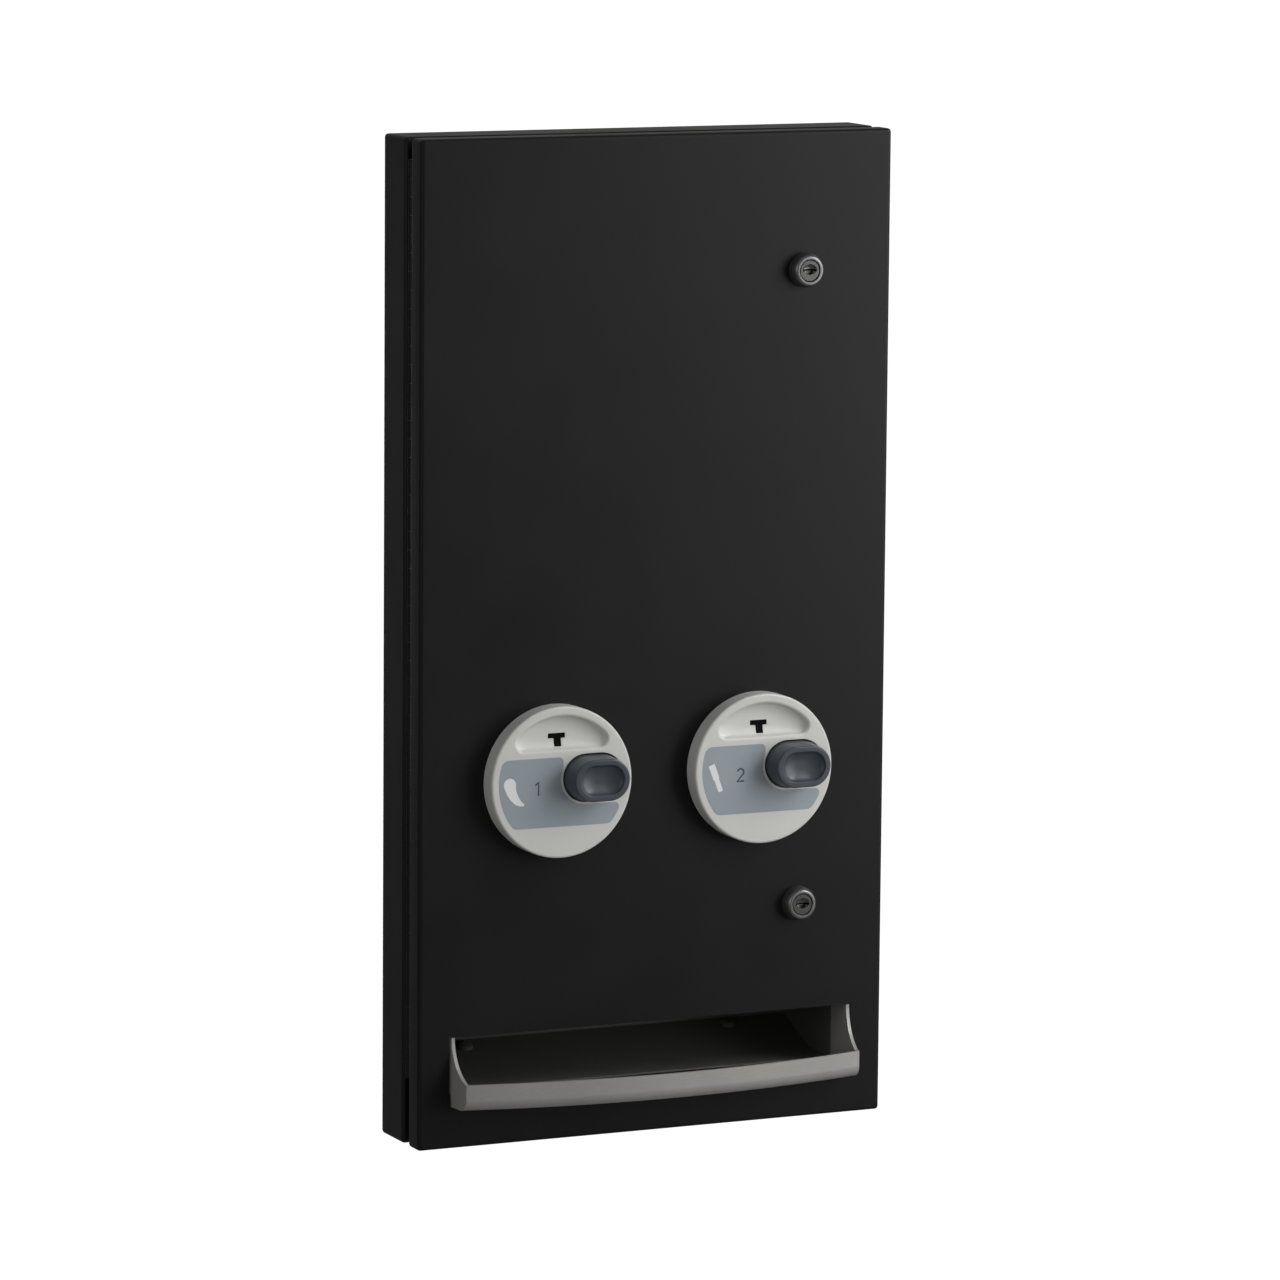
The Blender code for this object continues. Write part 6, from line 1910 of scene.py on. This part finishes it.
@dataclass
class StockColumn:
    """One upright stock magazine with its drop gate and gate pin."""

    word: str
    edge: float = 0.15 * MILLIMETRE
    pin_chamfer: float = 0.4 * MILLIMETRE
    pin_sides: int = 32

    def build(self, bench: Workbench) -> None:
        """Refines the sheet metal and makes the pin."""
        bench.refine(Slot.STOCK_STEEL, self.edge, f"{self.word}_magazine", f"{self.word}_gate")
        node = f"{self.word}_gate_pin"
        pin = Box.of(node)
        start = Vector((pin.low.x, pin.centre.y, pin.centre.z))
        bar = rod(start, RIGHTWARD, pin.size.x, pin.size.z / 2, self.pin_chamfer, self.pin_sides)
        bench.stand_in(bar, node, Slot.ZINC_STEEL)


@dataclass
class SmallScrews:
    """The pan-head screws of the brackets, the magazines and the cams."""

    def build(self, bench: Workbench) -> None:
        """Makes each screw with its head on the side that it is driven from."""
        for name in frame["nodes"]:
            if "bracket_screw" in name or "cam_screw" in name:
                CrossScrew(name, Slot.ZINC_STEEL, REARWARD).build(bench)
            elif "magazine_screw" in name:
                CrossScrew(name, Slot.ZINC_STEEL, -REARWARD).build(bench)


@dataclass(frozen=True)
class SoftBox:
    """One soft box light: where it hangs, where it looks, and how large and strong it is."""

    name: str
    place: Triple
    target: Triple
    size: tuple[float, float]
    power: float

    def build(self) -> None:
        """Hangs the light."""
        light = bpy.data.lights.new(self.name, "AREA")
        light.shape = "RECTANGLE"
        light.size, light.size_y = self.size
        light.energy = self.power
        lamp = bpy.data.objects.new(self.name, light)
        lamp.location = self.place
        look = Vector(self.target) - Vector(self.place)
        lamp.rotation_euler = look.to_track_quat("-Z", "Y").to_euler()
        bpy.context.scene.collection.objects.link(lamp)


@dataclass(frozen=True)
class Studio:
    """A pale floor, soft light and the camera at the photograph's viewing angle."""

    floor_drop: float = 0.35
    floor_half: float = 60.0
    floor_segments: int = 8
    floor_noise: Point = (0.8, 3.0)
    camera_place: Triple = (-1.8968, -4.1386, 0.6606)
    camera_yaw: float = 24.828
    camera_pitch: float = 8.386
    camera_roll: float = 0.472
    focal_pixels: float = 6669.0
    image_pixels: float = 1280.0
    sensor: float = 36.0
    clip_end: float = 500.0
    white: Colour = (1.0, 1.0, 1.0, 1.0)
    white_strength: float = 1.05
    floor_dark: Colour = (0.30, 0.30, 0.30, 1.0)
    floor_light: Colour = (0.34, 0.34, 0.34, 1.0)
    dim_side: Colour = (0.190, 0.190, 0.192, 1.0)
    bright_side: Colour = (0.392, 0.390, 0.384, 1.0)
    bright_way: Point = (0.75, 0.45)
    bright_reach: Point = (-0.55, 0.95)
    lights: tuple[SoftBox, ...] = (
        SoftBox("strip_light", (1.0, -0.88, 0.31), (0.0, -0.06, 0.05), (0.62, 1.45), 10.4),
        SoftBox("upper_light", (1.1, -0.7, 0.7), (0.0, -0.06, 0.0), (0.6, 0.6), 5.5),
        SoftBox("front_light", (1.9, -2.6, 0.6), (0.0, -0.06, 0.0), (1.6, 1.6), 7.6),
        SoftBox("left_light", (-3.0, -1.4, 0.8), (0.0, -0.06, 0.0), (1.6, 1.6), 9.6),
        SoftBox("low_front_light", (-0.5, -1.9, -1.2), (0.0, -0.07, -0.22), (1.6, 0.5), 3.8),
        SoftBox("low_left_light", (-1.9, -1.9, -0.15), (0.15, -0.05, -0.25), (0.8, 0.4), 2.0),
        SoftBox("back_light", (0.5, 2.6, -0.25), (0.0, 0.0, -0.1), (1.8, 0.7), 12.0),
    )

    def build(self) -> None:
        """Sets up the room."""
        bpy.context.scene.view_settings.view_transform = "Standard"
        self.build_camera()
        self.build_world()
        self.build_floor()
        for light in self.lights:
            light.build()
            LOG.info("%s hangs at %s", light.name, light.place)

    def build_camera(self) -> None:
        """Stands the camera where the photograph was taken from."""
        yaw, pitch, roll = (math.radians(a) for a in (self.camera_yaw, self.camera_pitch, self.camera_roll))
        ahead = Vector((math.sin(yaw) * math.cos(pitch), math.cos(yaw) * math.cos(pitch), -math.sin(pitch)))
        level = Vector((math.cos(yaw), -math.sin(yaw), 0))
        upright = level.cross(ahead)
        right = level * math.cos(roll) + upright * math.sin(roll)
        up = upright * math.cos(roll) - level * math.sin(roll)
        data = bpy.data.cameras.new("photograph_camera")
        data.sensor_fit = "HORIZONTAL"
        data.sensor_width = self.sensor
        data.lens = self.focal_pixels / self.image_pixels * self.sensor
        data.clip_end = self.clip_end
        camera = bpy.data.objects.new("photograph_camera", data)
        turn = Matrix((right, up, -ahead)).transposed().to_4x4()
        camera.matrix_world = Matrix.Translation(self.camera_place) @ turn
        bpy.context.scene.collection.objects.link(camera)
        bpy.context.scene.camera = camera

    def build_world(self) -> None:
        """Lights the room softly, brighter from the right and above, and white where it is seen."""
        world = bpy.data.worlds.new("studio")
        world.use_nodes = True
        bpy.context.scene.world = world
        world.node_tree.nodes.clear()
        graph = Graph(world.node_tree)
        way = graph.add("ShaderNodeTexCoord").outputs["Generated"]
        parts = graph.add("ShaderNodeSeparateXYZ", {0: way}).outputs
        rightward = graph.math("MULTIPLY", parts["X"], self.bright_way[0])
        upward = graph.math("MULTIPLY", parts["Z"], self.bright_way[1])
        share = graph.spread(graph.math("ADD", rightward, upward), 0.0, 1.0, *self.bright_reach)
        tone = graph.blend(share, self.dim_side, self.bright_side)
        soft = graph.add("ShaderNodeBackground", {"Color": tone, "Strength": 1.0}).outputs[0]
        self.show_white(graph, soft, "ShaderNodeBackground", "ShaderNodeOutputWorld")

    def show_white(self, graph: Graph, unseen: Link, shine: str, output: str) -> None:
        """Ends a tree in white where the camera looks, and in another shader for all other light.

        Args:
            graph: The tree.
            unseen: The other shader's result.
            shine: The type name of the node that shines white.
            output: The type name of the tree's last node.
        """
        inputs = {"Color": self.white, "Strength": self.white_strength}
        white = graph.add(shine, inputs).outputs[0]
        seen = graph.add("ShaderNodeLightPath").outputs["Is Camera Ray"]
        mixed = graph.add("ShaderNodeMixShader", {0: seen, 1: unseen, 2: white}).outputs[0]
        graph.add(output, {"Surface": mixed})

    def build_floor(self) -> None:
        """Lays the pale floor, which is as white as the backdrop where the camera sees it."""
        low = Vector(cad_bounds[0]).z - self.floor_drop
        bm = bmesh.new()
        count = self.floor_segments
        bmesh.ops.create_grid(bm, x_segments=count, y_segments=count, size=self.floor_half)
        bmesh.ops.translate(bm, verts=bm.verts, vec=(0, 0, low))
        floor = solid(bm, "studio_floor")
        material = bpy.data.materials.new("studio_floor")
        material.use_nodes = True
        material.node_tree.nodes.clear()
        graph = Graph(material.node_tree)
        place = graph.add("ShaderNodeTexCoord").outputs["Object"]
        noise = graph.noise(place, *self.floor_noise)
        tone = graph.blend(noise, self.floor_dark, self.floor_light)
        matt = graph.add("ShaderNodeBsdfDiffuse", {"Color": tone}).outputs[0]
        self.show_white(graph, matt, "ShaderNodeEmission", "ShaderNodeOutputMaterial")
        floor.data.materials.append(material)


def main() -> None:
    """Builds the studio and each sub-assembly in order."""
    logging.basicConfig(level=logging.INFO, format="%(name)s: %(message)s")
    Studio().build()
    bench = Workbench()
    assemblies = (
        Cabinet(),
        DoorPanel(),
        ContinuousHinge(),
        Dial("pad", 1),
        Dial("tampon", 2),
        PushButton("pad"),
        PushButton("tampon"),
        CamLock("upper"),
        CamLock("lower"),
        DeliveryTray(),
        Chute(),
        StockColumn("pad"),
        StockColumn("tampon"),
        SmallScrews(),
    )
    for assembly in assemblies:
        LOG.info("building %s", type(assembly).__name__)
        assembly.build(bench)


if __name__ == "__main__":
    main()
